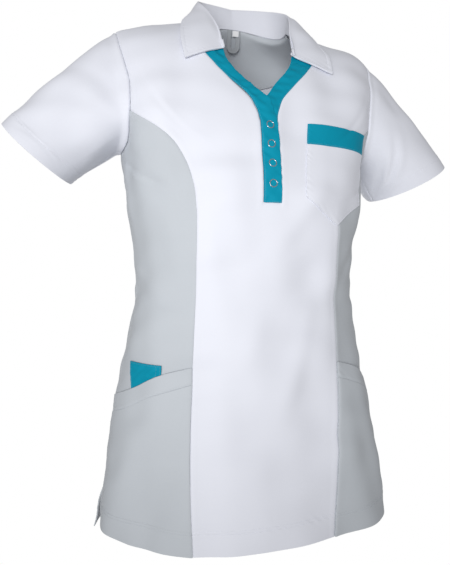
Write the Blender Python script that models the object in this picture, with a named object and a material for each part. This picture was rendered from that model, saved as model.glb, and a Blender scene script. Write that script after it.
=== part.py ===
"""Work polo shirt: a short-sleeved work tunic with a polo collar, filled out as if it were worn.

Units are metres and +Z is up. The front faces -Y and +X is the wearer's left. The origin lies midway between
the two high shoulder points, in the plane of the side seams. A place on the cloth is given by two tailor's
measures: how far round it is from the centre front, as an angle, and how far down it is from the neck seam,
as a tape laid over the shoulder reads. Below the armpit that tape reads TAPE_AT_ZERO minus the height.
"""
from collections import namedtuple
from math import cos, pi, radians, sin

import bmesh
import bpy
import numpy as np

# Driving sizes. A value for each side is keyed by the sign of its x: -1 is the wearer's right, 1 the left.
TAPE_AT_ZERO = 0.080
HEM_Z = -0.702
FRONT_SIDE_HEM_Z = {-1: -0.690, 1: -0.699}
BACK_SIDE_HEM_Z = -0.701
SLIT_TOP_Z = -0.625
SLIT_FRONT_SPREAD = radians(4.0)
SLIT_BACK_SPREAD = radians(1.5)
SLIT_FRONT_TUCK = {-1: -0.006, 1: 0.001}
SLIT_BACK_FLARE = 0.004
CLOTH = 0.0015
TRIM = 0.0011
SEAM_GAP = 0.0003
SLEEVE_SEAM_GAP = 0.0006
COLLAR_SEAM_GAP = 0.0015
PATCH_LIFT = 0.0006

PLACKET_HALF_WIDTH = 0.0120
PLACKET_BOTTOM_Z = -0.272
PLACKET_TOP_Z = -0.168
BAND_OVERLAP_LIFT = 0.0021

SNAP_TOP_Z = -0.1725
SNAP_SPACING = 0.0253
SNAP_COUNT = 4
SNAP_RING_RADIUS = 0.0043
SNAP_WIRE_RADIUS = 0.0010

# The body, ring by ring from the neck seam to below the hem: the tape measure, the heights at side, front and
# back, the half width, the depths before and behind the side seams, and how square the ring is (ellipse: 2)
Section = namedtuple("Section", "down side_z front_z back_z half_width front_depth back_depth square")
BODY = np.array([
    Section(0.000, 0.000, -0.040, 0.024, 0.068, 0.050, 0.052, 2.00),
    Section(0.058, -0.012, -0.066, -0.003, 0.124, 0.072, 0.074, 2.05),
    Section(0.125, -0.032, -0.104, -0.044, 0.188, 0.087, 0.090, 2.20),
    Section(0.200, -0.120, -0.158, -0.118, 0.189, 0.103, 0.104, 2.80),
    Section(0.275, -0.195, -0.208, -0.190, 0.178, 0.113, 0.106, 2.55),
    Section(0.335, -0.255, -0.258, -0.252, 0.172, 0.120, 0.102, 2.35),
    Section(0.385, -0.305, -0.306, -0.304, 0.163, 0.114, 0.096, 2.30),
    Section(0.450, -0.370, -0.370, -0.370, 0.158, 0.104, 0.098, 2.20),
    Section(0.560, -0.480, -0.480, -0.480, 0.176, 0.109, 0.116, 2.20),
    Section(0.680, -0.600, -0.600, -0.600, 0.195, 0.118, 0.128, 2.20),
    Section(0.800, -0.720, -0.720, -0.720, 0.210, 0.126, 0.134, 2.20),
])

# Soft folds that the cloth falls into: where each lies in degrees and tape, how far it runs up and down, its
# width and lean in degrees, and how high it stands. A negative height is a hollow.
Fold = namedtuple("Fold", "around down run width lean height")
FOLDS = [
    Fold(-62, 0.690, 0.110, 9, -14, 0.0045),
    Fold(-44, 0.740, 0.090, 7, -6, -0.0035),
    Fold(-8, 0.720, 0.120, 10, 4, 0.0035),
    Fold(40, 0.740, 0.100, 9, 8, 0.0040),
    Fold(66, 0.700, 0.120, 8, 10, -0.0040),
    Fold(112, 0.700, 0.120, 10, 8, 0.0045),
    Fold(146, 0.730, 0.110, 9, 4, -0.0040),
    Fold(176, 0.710, 0.130, 11, 0, 0.0045),
    Fold(-148, 0.730, 0.110, 9, -5, -0.0040),
    Fold(-116, 0.700, 0.120, 10, -8, 0.0045),
    Fold(-52, 0.330, 0.045, 8, 16, -0.0025),
    Fold(56, 0.420, 0.050, 8, -18, -0.0030),
    Fold(24, 0.760, 0.150, 11, 2, -0.0065),
    Fold(22, 0.440, 0.090, 9, 4, -0.0020),
    Fold(-30, 0.450, 0.080, 8, -5, 0.0020),
    Fold(150, 0.430, 0.080, 12, 0, -0.0035),
    Fold(-150, 0.430, 0.080, 12, 0, -0.0035),
    Fold(128, 0.300, 0.060, 8, 20, -0.0030),
    Fold(-128, 0.300, 0.060, 8, -20, -0.0030),
]

# The curved front seam of the side panel, as (x, height), from the hem up to the bend below the armhole
PRINCESS_FRONT = [
    (0.095, HEM_Z), (0.098, -0.600), (0.099, -0.490), (0.098, -0.380), (0.096, -0.285),
    (0.100, -0.250), (0.109, -0.218), (0.126, -0.190), (0.149, -0.170),
]
# How far the two front seams sway together to the wearer's left, as (height, metres)
SWAY = [(HEM_Z, -0.008), (-0.600, -0.006), (-0.490, 0.000), (-0.380, 0.006), (-0.285, 0.002), (-0.150, 0.0)]
# The curved back seam of the side panel, as (degrees past the side seam, height)
PRINCESS_BACK = [
    (54, HEM_Z), (53, -0.600), (52, -0.490), (52, -0.380), (50, -0.285),
    (46, -0.235), (38, -0.195), (30, -0.172),
]
# The V neck's outer edge, where the white front is cut, and its inner edge, as (x, height)
V_OUTER = [(0.0160, -0.150), (0.026, -0.129), (0.046, -0.107), (0.067, -0.084), (0.0785, -0.066)]
V_INNER = [(-0.006, -0.147), (0.0015, -0.130), (0.021, -0.108), (0.042, -0.085)]
V_OUTER_TURN = radians(54.0)
V_INNER_TURN = radians(22.5)
COLLAR_FRONT_DOWN = 0.060

# Armhole
ARMHOLE_TOP = 0.121
ARMHOLE_BOTTOM = 0.271
ARMHOLE_FRONT = radians(29.0)
ARMHOLE_BACK = radians(26.0)
SHOULDER_SEAM_TURN = radians(24.0)
PRINCESS_FRONT_TURN = radians(112.0)
PRINCESS_BACK_TURN = radians(248.0)
SHOULDER_SEAM = pi / 2 - ARMHOLE_FRONT * sin(SHOULDER_SEAM_TURN)

# How many faces each stretch is cut into
HEM_TO_BUST = 17
BUST_TO_ARMHOLE = 8
FRONT_ARMHOLE = 7
UNDERARM = 4
BACK_ARMHOLE = 8
SHOULDER_WRAP = 2
PLACKET_ROWS = 5
V_ROWS = 7
PANEL_ACROSS = 5
SIDE_ACROSS = 6
SLEEVE_ALONG = 9
BAND_ACROSS = 3
BACK_NECK = 8


# The cloth's surface

def through(stations, values, at):
    """A smooth curve through values at stations, read at the given places."""
    stations = np.asarray(stations, float)
    values = np.asarray(values, float)
    slope = np.gradient(values, stations, axis=0)
    left = np.clip(np.searchsorted(stations, at) - 1, 0, len(stations) - 2)
    span = stations[left + 1] - stations[left]
    u = (at - stations[left]) / span
    shape = np.shape(at) + (1,) * (values.ndim - 1)
    u, span = u.reshape(shape), span.reshape(shape)
    start = (1 + 2 * u) * (1 - u) ** 2 * values[left] + u * (1 - u) ** 2 * span * slope[left]
    end = u * u * (3 - 2 * u) * values[left + 1] + u * u * (u - 1) * span * slope[left + 1]
    return start + end


def section(down):
    return np.moveaxis(through(BODY[:, 0], BODY[:, 1:], np.asarray(down, float)), -1, 0)


def smooth_step(x):
    x = np.clip(x, 0, 1)
    return x * x * (3 - 2 * x)


def plain_body(around, down):
    around, down = np.broadcast_arrays(np.asarray(around, float), np.asarray(down, float))
    side_z, front_z, back_z, half_width, front_depth, back_depth, square = section(down)
    s, c = np.sin(around), np.cos(around)
    power = 2 / square
    x = half_width * np.sign(s) * np.abs(s) ** power
    y = np.where(c > 0, -front_depth, back_depth) * np.abs(c) ** power
    z = side_z + (np.where(c > 0, front_z, back_z) - side_z) * c * c
    return np.stack([x, y, z], -1)


def fold_height(around, down):
    total = np.zeros(np.broadcast(around, down).shape)
    for fold in FOLDS:
        along = (down - fold.down) / fold.run
        centre = fold.around + fold.lean * along
        across = (np.degrees(around) - centre + 180) % 360 - 180
        total = total + fold.height * np.exp(-(across / fold.width) ** 2 - along ** 2)
    return total


def unit(vectors):
    return vectors / np.linalg.norm(vectors, axis=-1, keepdims=True)


def crossed(surface, around, down, step=2e-4):
    """The unit direction out of a surface."""
    along = surface(around, down + step) - surface(around, down - step)
    across = surface(around + step, down) - surface(around - step, down)
    return unit(np.cross(along, across))


def body(around, down):
    out = crossed(plain_body, around, down)
    return plain_body(around, down) + out * fold_height(around, down)[..., None]


def body_out(around, down):
    return crossed(body, around, down)


def front_place(x, z):
    """Where the front has the given x and height, as an angle round and a tape measure down."""
    x, z = np.broadcast_arrays(np.asarray(x, float), np.asarray(z, float))
    low, high = np.zeros(x.shape), np.full(x.shape, BODY[-1, 0])
    for _ in range(40):
        down = (low + high) / 2
        side_z, front_z, _, half_width, _, _, square = section(down)
        turn = np.clip(np.abs(x) / half_width, 0, 1) ** (square / 2)
        too_low = side_z + (front_z - side_z) * (1 - turn ** 2) < z
        high = np.where(too_low, down, high)
        low = np.where(too_low, low, down)
    return np.stack([np.sign(x) * np.arcsin(turn), down], -1)


def tape(z):
    return TAPE_AT_ZERO - z


# Lines on the cloth, as rows of (angle round, tape measure down)

def even_line(keys, count):
    """A curve through the keys, in even steps."""
    between = np.linspace(0, len(keys) - 1, 16 * (len(keys) - 1) + 1)
    fine = through(np.arange(len(keys)), keys, between)
    length = np.concatenate([[0], np.cumsum(np.linalg.norm(np.diff(body(*fine.T), axis=0), axis=1))])
    wanted = np.linspace(0, length[-1], count + 1)
    return np.stack([np.interp(wanted, length, column) for column in fine.T], -1)


def armhole(turn):
    """The armhole seam of the wearer's left side, from its top forwards, under the arm and up the back."""
    reach = np.where(np.sin(turn) > 0, ARMHOLE_FRONT, ARMHOLE_BACK)
    middle = (ARMHOLE_TOP + ARMHOLE_BOTTOM) / 2
    half = (ARMHOLE_BOTTOM - ARMHOLE_TOP) / 2
    return np.stack([pi / 2 - reach * np.sin(turn), middle - half * np.cos(turn)], -1)


def turns(start, end, count):
    return np.linspace(start, end, count + 1)


FRONT_TURNS = turns(PRINCESS_FRONT_TURN, SHOULDER_SEAM_TURN, FRONT_ARMHOLE)
BACK_TURNS = np.concatenate([
    turns(PRINCESS_BACK_TURN, 2 * pi, BACK_ARMHOLE)[:-1],
    turns(2 * pi, 2 * pi + SHOULDER_SEAM_TURN, SHOULDER_WRAP),
])
NECK_ROWS = BUST_TO_ARMHOLE + FRONT_ARMHOLE - PLACKET_ROWS - V_ROWS
BAND_NECK_TURNS = turns(V_INNER_TURN, V_OUTER_TURN, BAND_ACROSS)
FRONT_NECK_TURNS = turns(V_OUTER_TURN, SHOULDER_SEAM, NECK_ROWS)
BACK_NECK_TURNS = turns(SHOULDER_SEAM, pi, BACK_NECK)
UNDER_FRONT_TURNS = turns(PRINCESS_FRONT_TURN, pi, UNDERARM)
UNDER_BACK_TURNS = turns(PRINCESS_BACK_TURN, pi, UNDERARM)
# The whole armhole once round, with every seam's end on it
ARMHOLE_TURNS = np.concatenate([
    turns(0, SHOULDER_SEAM_TURN, SHOULDER_WRAP)[:-1], FRONT_TURNS[::-1][:-1], UNDER_FRONT_TURNS[:-1],
    UNDER_BACK_TURNS[::-1][:-1], turns(PRINCESS_BACK_TURN, 2 * pi, BACK_ARMHOLE)[:-1],
])


def sway(z):
    heights, metres = np.array(SWAY).T
    return through(heights, metres, np.asarray(z, float))


def princess_front(side):
    keys = [front_place(x + side * sway(z), z) for x, z in PRINCESS_FRONT] + [armhole(PRINCESS_FRONT_TURN)]
    straight = even_line(keys[:5], HEM_TO_BUST)
    bend = even_line(keys[4:], BUST_TO_ARMHOLE)
    return np.concatenate([straight, bend[1:]])


def princess_back():
    keys = [(pi / 2 + radians(turn), tape(z)) for turn, z in PRINCESS_BACK] + [armhole(PRINCESS_BACK_TURN)]
    straight = even_line(keys[:5], HEM_TO_BUST)
    bend = even_line(keys[4:], BUST_TO_ARMHOLE)
    return np.concatenate([straight, bend[1:]])


def side_seam(away, hem_z):
    """The side seam from the hem to the armhole. Below the slit's top it turns away from the other panel."""
    straight = np.linspace(hem_z, -0.285, HEM_TO_BUST + 1)
    upper = np.linspace(-0.285, TAPE_AT_ZERO - ARMHOLE_BOTTOM, BUST_TO_ARMHOLE + 1)
    z = np.concatenate([straight, upper[1:]])
    open_part = np.clip((SLIT_TOP_Z - z) / (SLIT_TOP_Z - HEM_Z), 0, 1)
    return np.stack([pi / 2 + away * open_part, tape(z)], -1)


def collar_seam(around):
    """Where the collar is sewn on: the neck ring behind, falling to the V in front."""
    fall = np.clip((SHOULDER_SEAM - np.abs(around)) / (SHOULDER_SEAM - V_INNER_TURN), 0, 1)
    return np.stack([around, COLLAR_FRONT_DOWN * fall ** 1.75], -1)


def v_edge(points, placket_x, top_turn):
    """A V band's edge from the placket's foot up to the collar seam."""
    heights = np.linspace(PLACKET_BOTTOM_Z, PLACKET_TOP_Z, PLACKET_ROWS + 1)
    placket = [front_place(placket_x, z) for z in heights]
    slope = [placket[-1]] + [front_place(x, z) for x, z in points] + [collar_seam(top_turn)]
    return np.concatenate([placket, even_line(slope, V_ROWS)[1:]])


# From lines to solids

def four_sided(bottom, top, left, right):
    """A grid of places between four lines that share their corners, with its rows from bottom to top."""
    u = np.linspace(0, 1, len(left))[:, None, None]
    v = np.linspace(0, 1, len(bottom))[None, :, None]
    across = (1 - v) * left[:, None] + v * right[:, None]
    upward = (1 - u) * bottom[None] + u * top[None]
    corners = (1 - u) * ((1 - v) * left[0] + v * right[0]) + u * ((1 - v) * left[-1] + v * right[-1])
    return across + upward - corners


def straight_line(start, end, count):
    return np.linspace(start, end, count + 1)


def drawn_in(points, edges):
    """Grid points with the named edges drawn in along the cloth by half a seam gap."""
    moved = points.copy()
    rows = {"bottom": (0, 1), "top": (-1, -2)}
    for edge in edges:
        if edge in rows:
            at, inner = rows[edge]
            moved[at] += SEAM_GAP / 2 * unit(points[inner] - points[at])
        else:
            at, inner = (0, 1) if edge == "left" else (-1, -2)
            moved[:, at] += SEAM_GAP / 2 * unit(points[:, inner] - points[:, at])
    return moved


def wall(name, outer, inner, material, closed=False, keep=None):
    """A cloth wall between two grids of points. keep says which cells of the grid are cloth."""
    rows, cols = outer.shape[:2]
    across = cols if closed else cols - 1
    if keep is None:
        keep = np.ones((rows - 1, across), bool)
    shell = bmesh.new()
    made = {}

    def corner(side, i, j):
        key = (side, i, j % cols)
        if key not in made:
            made[key] = shell.verts.new((outer, inner)[side][i, j % cols])
        return made[key]

    def is_cloth(i, j):
        if closed:
            j %= cols
        return 0 <= i < rows - 1 and 0 <= j < across and keep[i, j]

    for i in range(rows - 1):
        for j in range(across):
            if not keep[i, j]:
                continue
            ring = [(i, j), (i, j + 1), (i + 1, j + 1), (i + 1, j)]
            shell.faces.new([corner(0, *at) for at in ring])
            shell.faces.new([corner(1, *ring[k]) for k in (0, 3, 2, 1)])
            beyond = [(i - 1, j), (i, j + 1), (i + 1, j), (i, j - 1)]
            for k, cell in enumerate(beyond):
                if not is_cloth(*cell):
                    a, b = ring[k], ring[(k + 1) % 4]
                    shell.faces.new([corner(0, *b), corner(0, *a), corner(1, *a), corner(1, *b)])
    bmesh.ops.remove_doubles(shell, verts=shell.verts, dist=1e-6)
    # Every wall is split along the same diagonals, so that walls made on the same points stay parallel
    bmesh.ops.triangulate(shell, faces=shell.faces, quad_method="FIXED")
    return finish(name, shell, material)


def finish(name, shell, material):
    """Turns a bmesh into a named object of the shirt, with its faces pointing out."""
    if shell.calc_volume(signed=True) < 0:
        bmesh.ops.reverse_faces(shell, faces=shell.faces)
    mesh = bpy.data.meshes.new(name)
    shell.to_mesh(mesh)
    shell.free()
    mesh.shade_smooth()
    mesh.set_sharp_from_angle(angle=radians(40))
    mesh.materials.append(material)
    piece = bpy.data.objects.new(name, mesh)
    PARTS.objects.link(piece)
    piece.parent = SHIRT
    return piece


def cloth_on_body(name, places, material, edges=(), lift=0.0, thickness=CLOTH, keep=None):
    """A panel whose outer face lies on the body, lifted by lift, with the named edges drawn in."""
    around, down = places[..., 0], places[..., 1]
    out = body_out(around, down)
    lifted = body(around, down) + out * np.broadcast_to(lift, around.shape)[..., None]
    outer = drawn_in(lifted, edges)
    return wall(name, outer, outer - out * thickness, material, keep=keep)


# Collection, empty and materials

def start():
    for old in list(bpy.data.objects):
        bpy.data.objects.remove(old, do_unlink=True)
    parts = bpy.data.collections.new("work_polo_shirt")
    bpy.context.scene.collection.children.link(parts)
    shirt = bpy.data.objects.new("shirt", None)
    parts.objects.link(shirt)
    return parts, shirt


def finish_material(name, colour, roughness, metallic=0.0):
    material = bpy.data.materials.new(name)
    material.use_nodes = True
    shader = material.node_tree.nodes["Principled BSDF"]
    shader.inputs["Base Color"].default_value = (*colour, 1)
    shader.inputs["Roughness"].default_value = roughness
    shader.inputs["Metallic"].default_value = metallic
    return material


PARTS, SHIRT = start()
WHITE = finish_material("white_cloth", (0.80, 0.81, 0.85), 0.75)
GREY = finish_material("grey_cloth", (0.50, 0.53, 0.56), 0.75)
TEAL = finish_material("teal_cloth", (0.006, 0.22, 0.33), 0.70)
SILVER = finish_material("snap_metal", (0.75, 0.75, 0.76), 0.25, 1.0)


# Front

def front_inner_edge():
    """The white front's inner line: up the placket's side, out along the V, then round the collar seam."""
    heights = np.linspace(HEM_Z, PLACKET_BOTTOM_Z, HEM_TO_BUST + 1)
    below = [front_place(PLACKET_HALF_WIDTH, z) for z in heights]
    v = v_edge(V_OUTER, PLACKET_HALF_WIDTH, V_OUTER_TURN)
    return np.concatenate([below, v[1:], collar_seam(FRONT_NECK_TURNS)[1:]])


def front_half(side):
    """The grid of half the white front, from its inner line out to the seam and the armhole."""
    outer_line = np.concatenate([princess_front(side), armhole(FRONT_TURNS)[1:]])
    inner_line = front_inner_edge()
    hem = straight_line(inner_line[0], outer_line[0], PANEL_ACROSS)
    hem[:, 1] = tape(HEM_Z)
    shoulder = straight_line(inner_line[-1], outer_line[-1], PANEL_ACROSS)
    return four_sided(hem, shoulder, inner_line, outer_line)


def make_front_centre():
    middle = front_inner_edge()[:, None] * [0, 1]
    places = np.concatenate([front_half(-1)[:, ::-1] * [-1, 1], middle, front_half(1)], 1)
    around, down = places[..., 0], places[..., 1]
    out = body_out(around, down)
    points = drawn_in(body(around, down), ["left", "right", "top"])
    upper = slice(HEM_TO_BUST, None)
    for at, inner in ((PANEL_ACROSS, PANEL_ACROSS - 1), (PANEL_ACROSS + 2, PANEL_ACROSS + 3)):
        points[upper, at] += SEAM_GAP / 2 * unit(points[upper, inner] - points[upper, at])
    keep = np.ones((len(points) - 1, points.shape[1] - 1), bool)
    keep[upper, PANEL_ACROSS:PANEL_ACROSS + 2] = False
    wall("front_centre", points, points - out * CLOTH, WHITE, keep=keep)


def side_places(inner_line, outer_line, princess_turn):
    """The grid of a side panel, between its curved seam and the side seam."""
    hem = straight_line(inner_line[0], outer_line[0], SIDE_ACROSS)
    top = armhole(np.linspace(princess_turn, pi, SIDE_ACROSS + 1))
    return four_sided(hem, top, inner_line, outer_line)


def front_side_places(side):
    slit_edge = side_seam(-SLIT_FRONT_SPREAD, FRONT_SIDE_HEM_Z[side])
    return side_places(princess_front(side), slit_edge, PRINCESS_FRONT_TURN) * [side, 1]


def slit_lift(places, most):
    """How far the cloth beside the slit stands out, or in, most of all at its free corner."""
    down = (places[..., 1] - tape(SLIT_TOP_Z)) / (SLIT_TOP_Z - HEM_Z)
    beside = np.linspace(0, 1, places.shape[1])
    return most * np.clip(down, 0, 1) ** 1.5 * beside ** 2


def make_front_side(side, suffix):
    places = front_side_places(side)
    lift = slit_lift(places, SLIT_FRONT_TUCK[side])
    cloth_on_body("front_side_" + suffix, places, GREY, ["left", "right", "top"], lift)


# Back

def make_back_centre():
    outer_line = np.concatenate([princess_back(), armhole(BACK_TURNS)[1:]])
    to_neck = len(outer_line) - 1 - BACK_NECK
    heights = np.concatenate([
        tape(np.linspace(HEM_Z, -0.285, HEM_TO_BUST + 1)),
        np.linspace(tape(-0.285), 0, to_neck - HEM_TO_BUST + 1)[1:],
    ])
    centre = np.stack([np.full(len(heights), pi), heights], -1)
    inner_line = np.concatenate([centre, collar_seam(BACK_NECK_TURNS[::-1])[1:]])
    hem = straight_line(inner_line[0], outer_line[0], PANEL_ACROSS)
    hem[:, 1] = tape(HEM_Z)
    shoulder = straight_line(inner_line[-1], outer_line[-1], PANEL_ACROSS)
    half = four_sided(hem, shoulder, inner_line, outer_line)
    left = drawn_in(body(half[..., 0], half[..., 1]), ["right", "top"])
    right_half = half * [-1, 1]
    right = drawn_in(body(right_half[..., 0], right_half[..., 1]), ["right", "top"])
    left_out = body_out(half[..., 0], half[..., 1])
    right_out = body_out(right_half[..., 0], right_half[..., 1])
    for points in (left, right):
        points[to_neck:, 0] += SEAM_GAP / 2 * unit(points[to_neck:, 1] - points[to_neck:, 0])
    meeting = (left[:to_neck + 1, 0] + right[:to_neck + 1, 0]) / 2
    meeting_out = (left_out[:to_neck + 1, 0] + right_out[:to_neck + 1, 0]) / 2
    for points, out in ((left, left_out), (right, right_out)):
        points[:to_neck + 1, 0] = meeting
        out[:to_neck + 1, 0] = meeting_out
    points = np.concatenate([left[:, ::-1], right], 1)
    out = np.concatenate([left_out[:, ::-1], right_out], 1)
    keep = np.ones((len(points) - 1, points.shape[1] - 1), bool)
    keep[to_neck:, PANEL_ACROSS] = False
    wall("back_centre", points, points - out * CLOTH, WHITE, keep=keep)


def make_back_side(side, suffix):
    slit_edge = side_seam(SLIT_BACK_SPREAD, BACK_SIDE_HEM_Z)
    places = side_places(princess_back(), slit_edge, PRINCESS_BACK_TURN) * [side, 1]
    lift = slit_lift(places, SLIT_BACK_FLARE)
    cloth_on_body("back_side_" + suffix, places, GREY, ["left", "right", "top"], lift)


# Sleeves
Cuff = namedtuple("Cuff", "suffix side top foot depth")
CUFFS = [
    Cuff("right", -1, (0.325, -0.018, -0.169), (0.244, 0.004, -0.237), 0.056),
    Cuff("left", 1, (0.316, -0.018, -0.185), (0.217, 0.004, -0.242), 0.056),
]
# How far the sleeve sets out sideways before it turns down to its cuff, at the shoulder and under the arm
LEAN_ON_TOP = 0.14
LEAN_UNDER_ARM = 0.45


def sleeve_points(cuff, turn, along):
    """The sleeve's outer face: along runs from the armhole, 0, to the cuff's edge, 1."""
    arm = plain_body(*armhole(turn).T)
    top, foot = np.array(cuff.top), np.array(cuff.foot)
    centre, half = (top + foot) / 2, (top - foot) / 2
    turn = turn[:, None]
    edge = centre + half * np.cos(turn) - np.array([0, cuff.depth, 0]) * np.sin(turn)
    length = np.linalg.norm(edge - arm, axis=-1, keepdims=True)
    straight = unit(edge - arm)
    lean = LEAN_ON_TOP + (LEAN_UNDER_ARM - LEAN_ON_TOP) * (1 - np.cos(turn)) / 2
    start = straight * (1 - lean) + np.array([1.0, 0, 0]) * lean
    axis = unit(np.cross(half, [0, -1.0, 0]))
    axis = axis * np.sign(axis[0])
    first, second = arm + start * length / 3, edge - (axis + straight) / 2 * length / 3
    u = along[:, None, None]
    curve = (1 - u) ** 3 * arm + 3 * u * (1 - u) ** 2 * first + 3 * u * u * (1 - u) * second + u ** 3 * edge
    return curve * [cuff.side, 1, 1]


def grid_out(points, side, closed=True):
    """The unit direction out of a grid of points."""
    if closed:
        across = np.roll(points, -1, 1) - np.roll(points, 1, 1)
    else:
        across = np.gradient(points, axis=1)
    return unit(np.cross(across, np.gradient(points, axis=0)) * side)


def make_sleeve(cuff):
    points = sleeve_points(cuff, ARMHOLE_TURNS, np.linspace(0, 1, SLEEVE_ALONG + 1))
    out = grid_out(points, cuff.side)
    arm_places = armhole(ARMHOLE_TURNS) * [cuff.side, 1]
    out[0] = body_out(*arm_places.T)
    points[0] += SLEEVE_SEAM_GAP * unit(points[0].mean(0) - points[0])
    wall("sleeve_" + cuff.suffix, points, points - out * CLOTH, WHITE, closed=True)


# Collar
# Each station round the neck, in degrees from the centre front, with the fold and the free edge there
CollarStation = namedtuple("CollarStation", "around fold_x fold_y fold_z edge_x edge_y edge_z")
COLLAR = np.array([
    CollarStation(22.5, 0.0500, -0.0735, -0.0620, 0.1035, -0.0810, -0.0840),
    CollarStation(38, 0.0510, -0.0560, -0.0300, 0.1060, -0.0680, -0.0570),
    CollarStation(60, 0.0590, -0.0340, 0.0030, 0.1020, -0.0460, -0.0290),
    CollarStation(90, 0.0665, -0.0060, 0.0300, 0.0905, -0.0120, -0.0010),
    CollarStation(130, 0.0525, 0.0380, 0.0550, 0.0650, 0.0510, 0.0110),
    CollarStation(180, 0.0000, 0.0580, 0.0610, 0.0000, 0.0740, 0.0150),
])
# Rows from the neck seam, 0, over the stand's top, 1, the fold, 2, and the leaf, 3 and 4, to its free edge, 5
COLLAR_ROWS = [0, 0.5, 1, 1.5, 2, 2.35, 2.7, 3.05, 3.5, 4, 4.5, 5]
ROLL_DEPTH = 0.0080
ROLL_SWELL = (0.0, 0.0015)
LEAF_BOW = 0.0015


def square_to(vectors, axis):
    """The vectors' part at right angles to an axis, at unit length."""
    return unit(vectors - axis * (vectors * axis).sum(-1, keepdims=True))


def collar_points():
    """The collar's visible face, a row for each step from the neck seam up over the fold to the free edge."""
    turn = np.concatenate([BAND_NECK_TURNS, FRONT_NECK_TURNS[1:], BACK_NECK_TURNS[1:]])
    keys = through(COLLAR[:, 0], COLLAR[:, 1:], np.degrees(turn))
    fold, edge = keys[:, :3], keys[:, 3:]
    around, down = collar_seam(turn).T
    neck = plain_body(around, down)
    up_stand, up_leaf = unit(fold - neck), unit(fold - edge)
    out = square_to(up_stand - up_leaf, unit(up_stand + up_leaf))
    depth = np.minimum(ROLL_DEPTH, 0.5 * np.linalg.norm(fold - neck, axis=-1, keepdims=True))
    swell = np.interp(turn, [V_INNER_TURN, pi / 2], ROLL_SWELL)[:, None]
    stand = fold - up_stand * depth - out * swell
    leaf = fold - up_leaf * depth + out * swell
    inward = unit(np.cross(fold - neck, np.gradient(neck, axis=0)))
    upward = unit(plain_body(around, down - 1e-3) - neck)
    clear = np.interp(turn, [V_INNER_TURN, V_OUTER_TURN], [COLLAR_SEAM_GAP, 0])[:, None]
    seam = neck + upward * COLLAR_SEAM_GAP + inward * CLOTH + crossed(plain_body, around, down) * clear
    middle = (leaf + edge) / 2 + out * LEAF_BOW
    half = through(np.arange(6), np.stack([seam, stand, fold, leaf, middle, edge]), np.array(COLLAR_ROWS))
    return np.concatenate([half, (half * [-1, 1, 1])[:, ::-1][:, 1:]], 1)


def make_collar():
    points = collar_points()
    out = grid_out(points, -1, closed=False)
    wall("collar", points, points - out * CLOTH, WHITE)


# Neck bands and placket. The wearer's right band lies over the left one.
BAND_RISE_FROM = 0.118
BAND_RISE_TO = 0.148


def make_neck_band(side, suffix, over):
    outer_line = v_edge(V_OUTER, PLACKET_HALF_WIDTH - SEAM_GAP, V_OUTER_TURN)
    inner_line = v_edge(V_INNER, 0.0005 - PLACKET_HALF_WIDTH, V_INNER_TURN)
    foot = straight_line(inner_line[0], outer_line[0], BAND_ACROSS)
    top = collar_seam(BAND_NECK_TURNS)
    places = four_sided(foot, top, inner_line, outer_line) * [side, 1]
    rise = smooth_step((places[..., 1] - BAND_RISE_FROM) / (BAND_RISE_TO - BAND_RISE_FROM))
    lift = BAND_OVERLAP_LIFT * rise if over else 0.0
    cloth_on_body("neck_band_" + suffix, places, TEAL, ["right", "bottom", "top"], lift=lift)


# Chest pocket on the wearer's left, as x and height
CHEST_LEFT = (0.0555, 0.0530)
CHEST_RIGHT = (0.1560, 0.1530)
CHEST_TOP_Z = -0.1640
CHEST_BAND_Z = -0.1915
CHEST_CORNER_Z = -0.2630
CHEST_TIP_Z = -0.2960
CHEST_COLUMNS = 8


def make_chest_pocket():
    v = np.linspace(0, 1, CHEST_COLUMNS + 1)
    band_x = CHEST_LEFT[1] + (CHEST_RIGHT[1] - CHEST_LEFT[1]) * v
    top_x = CHEST_LEFT[0] + (CHEST_RIGHT[0] - CHEST_LEFT[0]) * v
    foot_x = CHEST_LEFT[1] - 0.009 + (CHEST_RIGHT[1] - CHEST_LEFT[1]) * v
    foot_z = CHEST_CORNER_Z + (CHEST_TIP_Z - CHEST_CORNER_Z) * (1 - np.abs(2 * v - 1))
    rows = np.linspace(0, 1, 8)[:, None]
    pocket = front_place(foot_x + (band_x - foot_x) * rows, foot_z + (CHEST_BAND_Z - foot_z) * rows)
    rows = np.linspace(0, 1, 3)[:, None]
    band = front_place(band_x + (top_x - band_x) * rows, CHEST_BAND_Z + (CHEST_TOP_Z - CHEST_BAND_Z) * rows)
    cloth_on_body("chest_pocket", pocket, WHITE, ["top"], PATCH_LIFT + TRIM, TRIM)
    cloth_on_body("chest_pocket_band", band, TEAL, ["bottom"], PATCH_LIFT + TRIM, TRIM)


# Side pockets: the mouth's upper edge and the band's seam, as x and height, and their height at the side seam
MOUTH = [(0.0985, -0.478), (0.132, -0.4875), (0.168, -0.508)]
MOUTH_SIDE_Z = -0.523
BAND_SEAM = [(0.0990, -0.4985), (0.145, -0.515), (0.174, -0.533)]
BAND_SEAM_SIDE_Z = -0.546
POCKET_PANEL_ROWS = 7
MOUTH_OPENS = 0.0030
PEN_POCKET_TOP = [(0.1330, -0.4765), (0.1680, -0.4735)]
PEN_POCKET_FOOT_TURNS = (radians(47), radians(68))


def pocket_line(points, side_z):
    keys = [front_place(x, z) for x, z in points] + [np.array([pi / 2, tape(side_z)])]
    return even_line(keys, SIDE_ACROSS)


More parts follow.
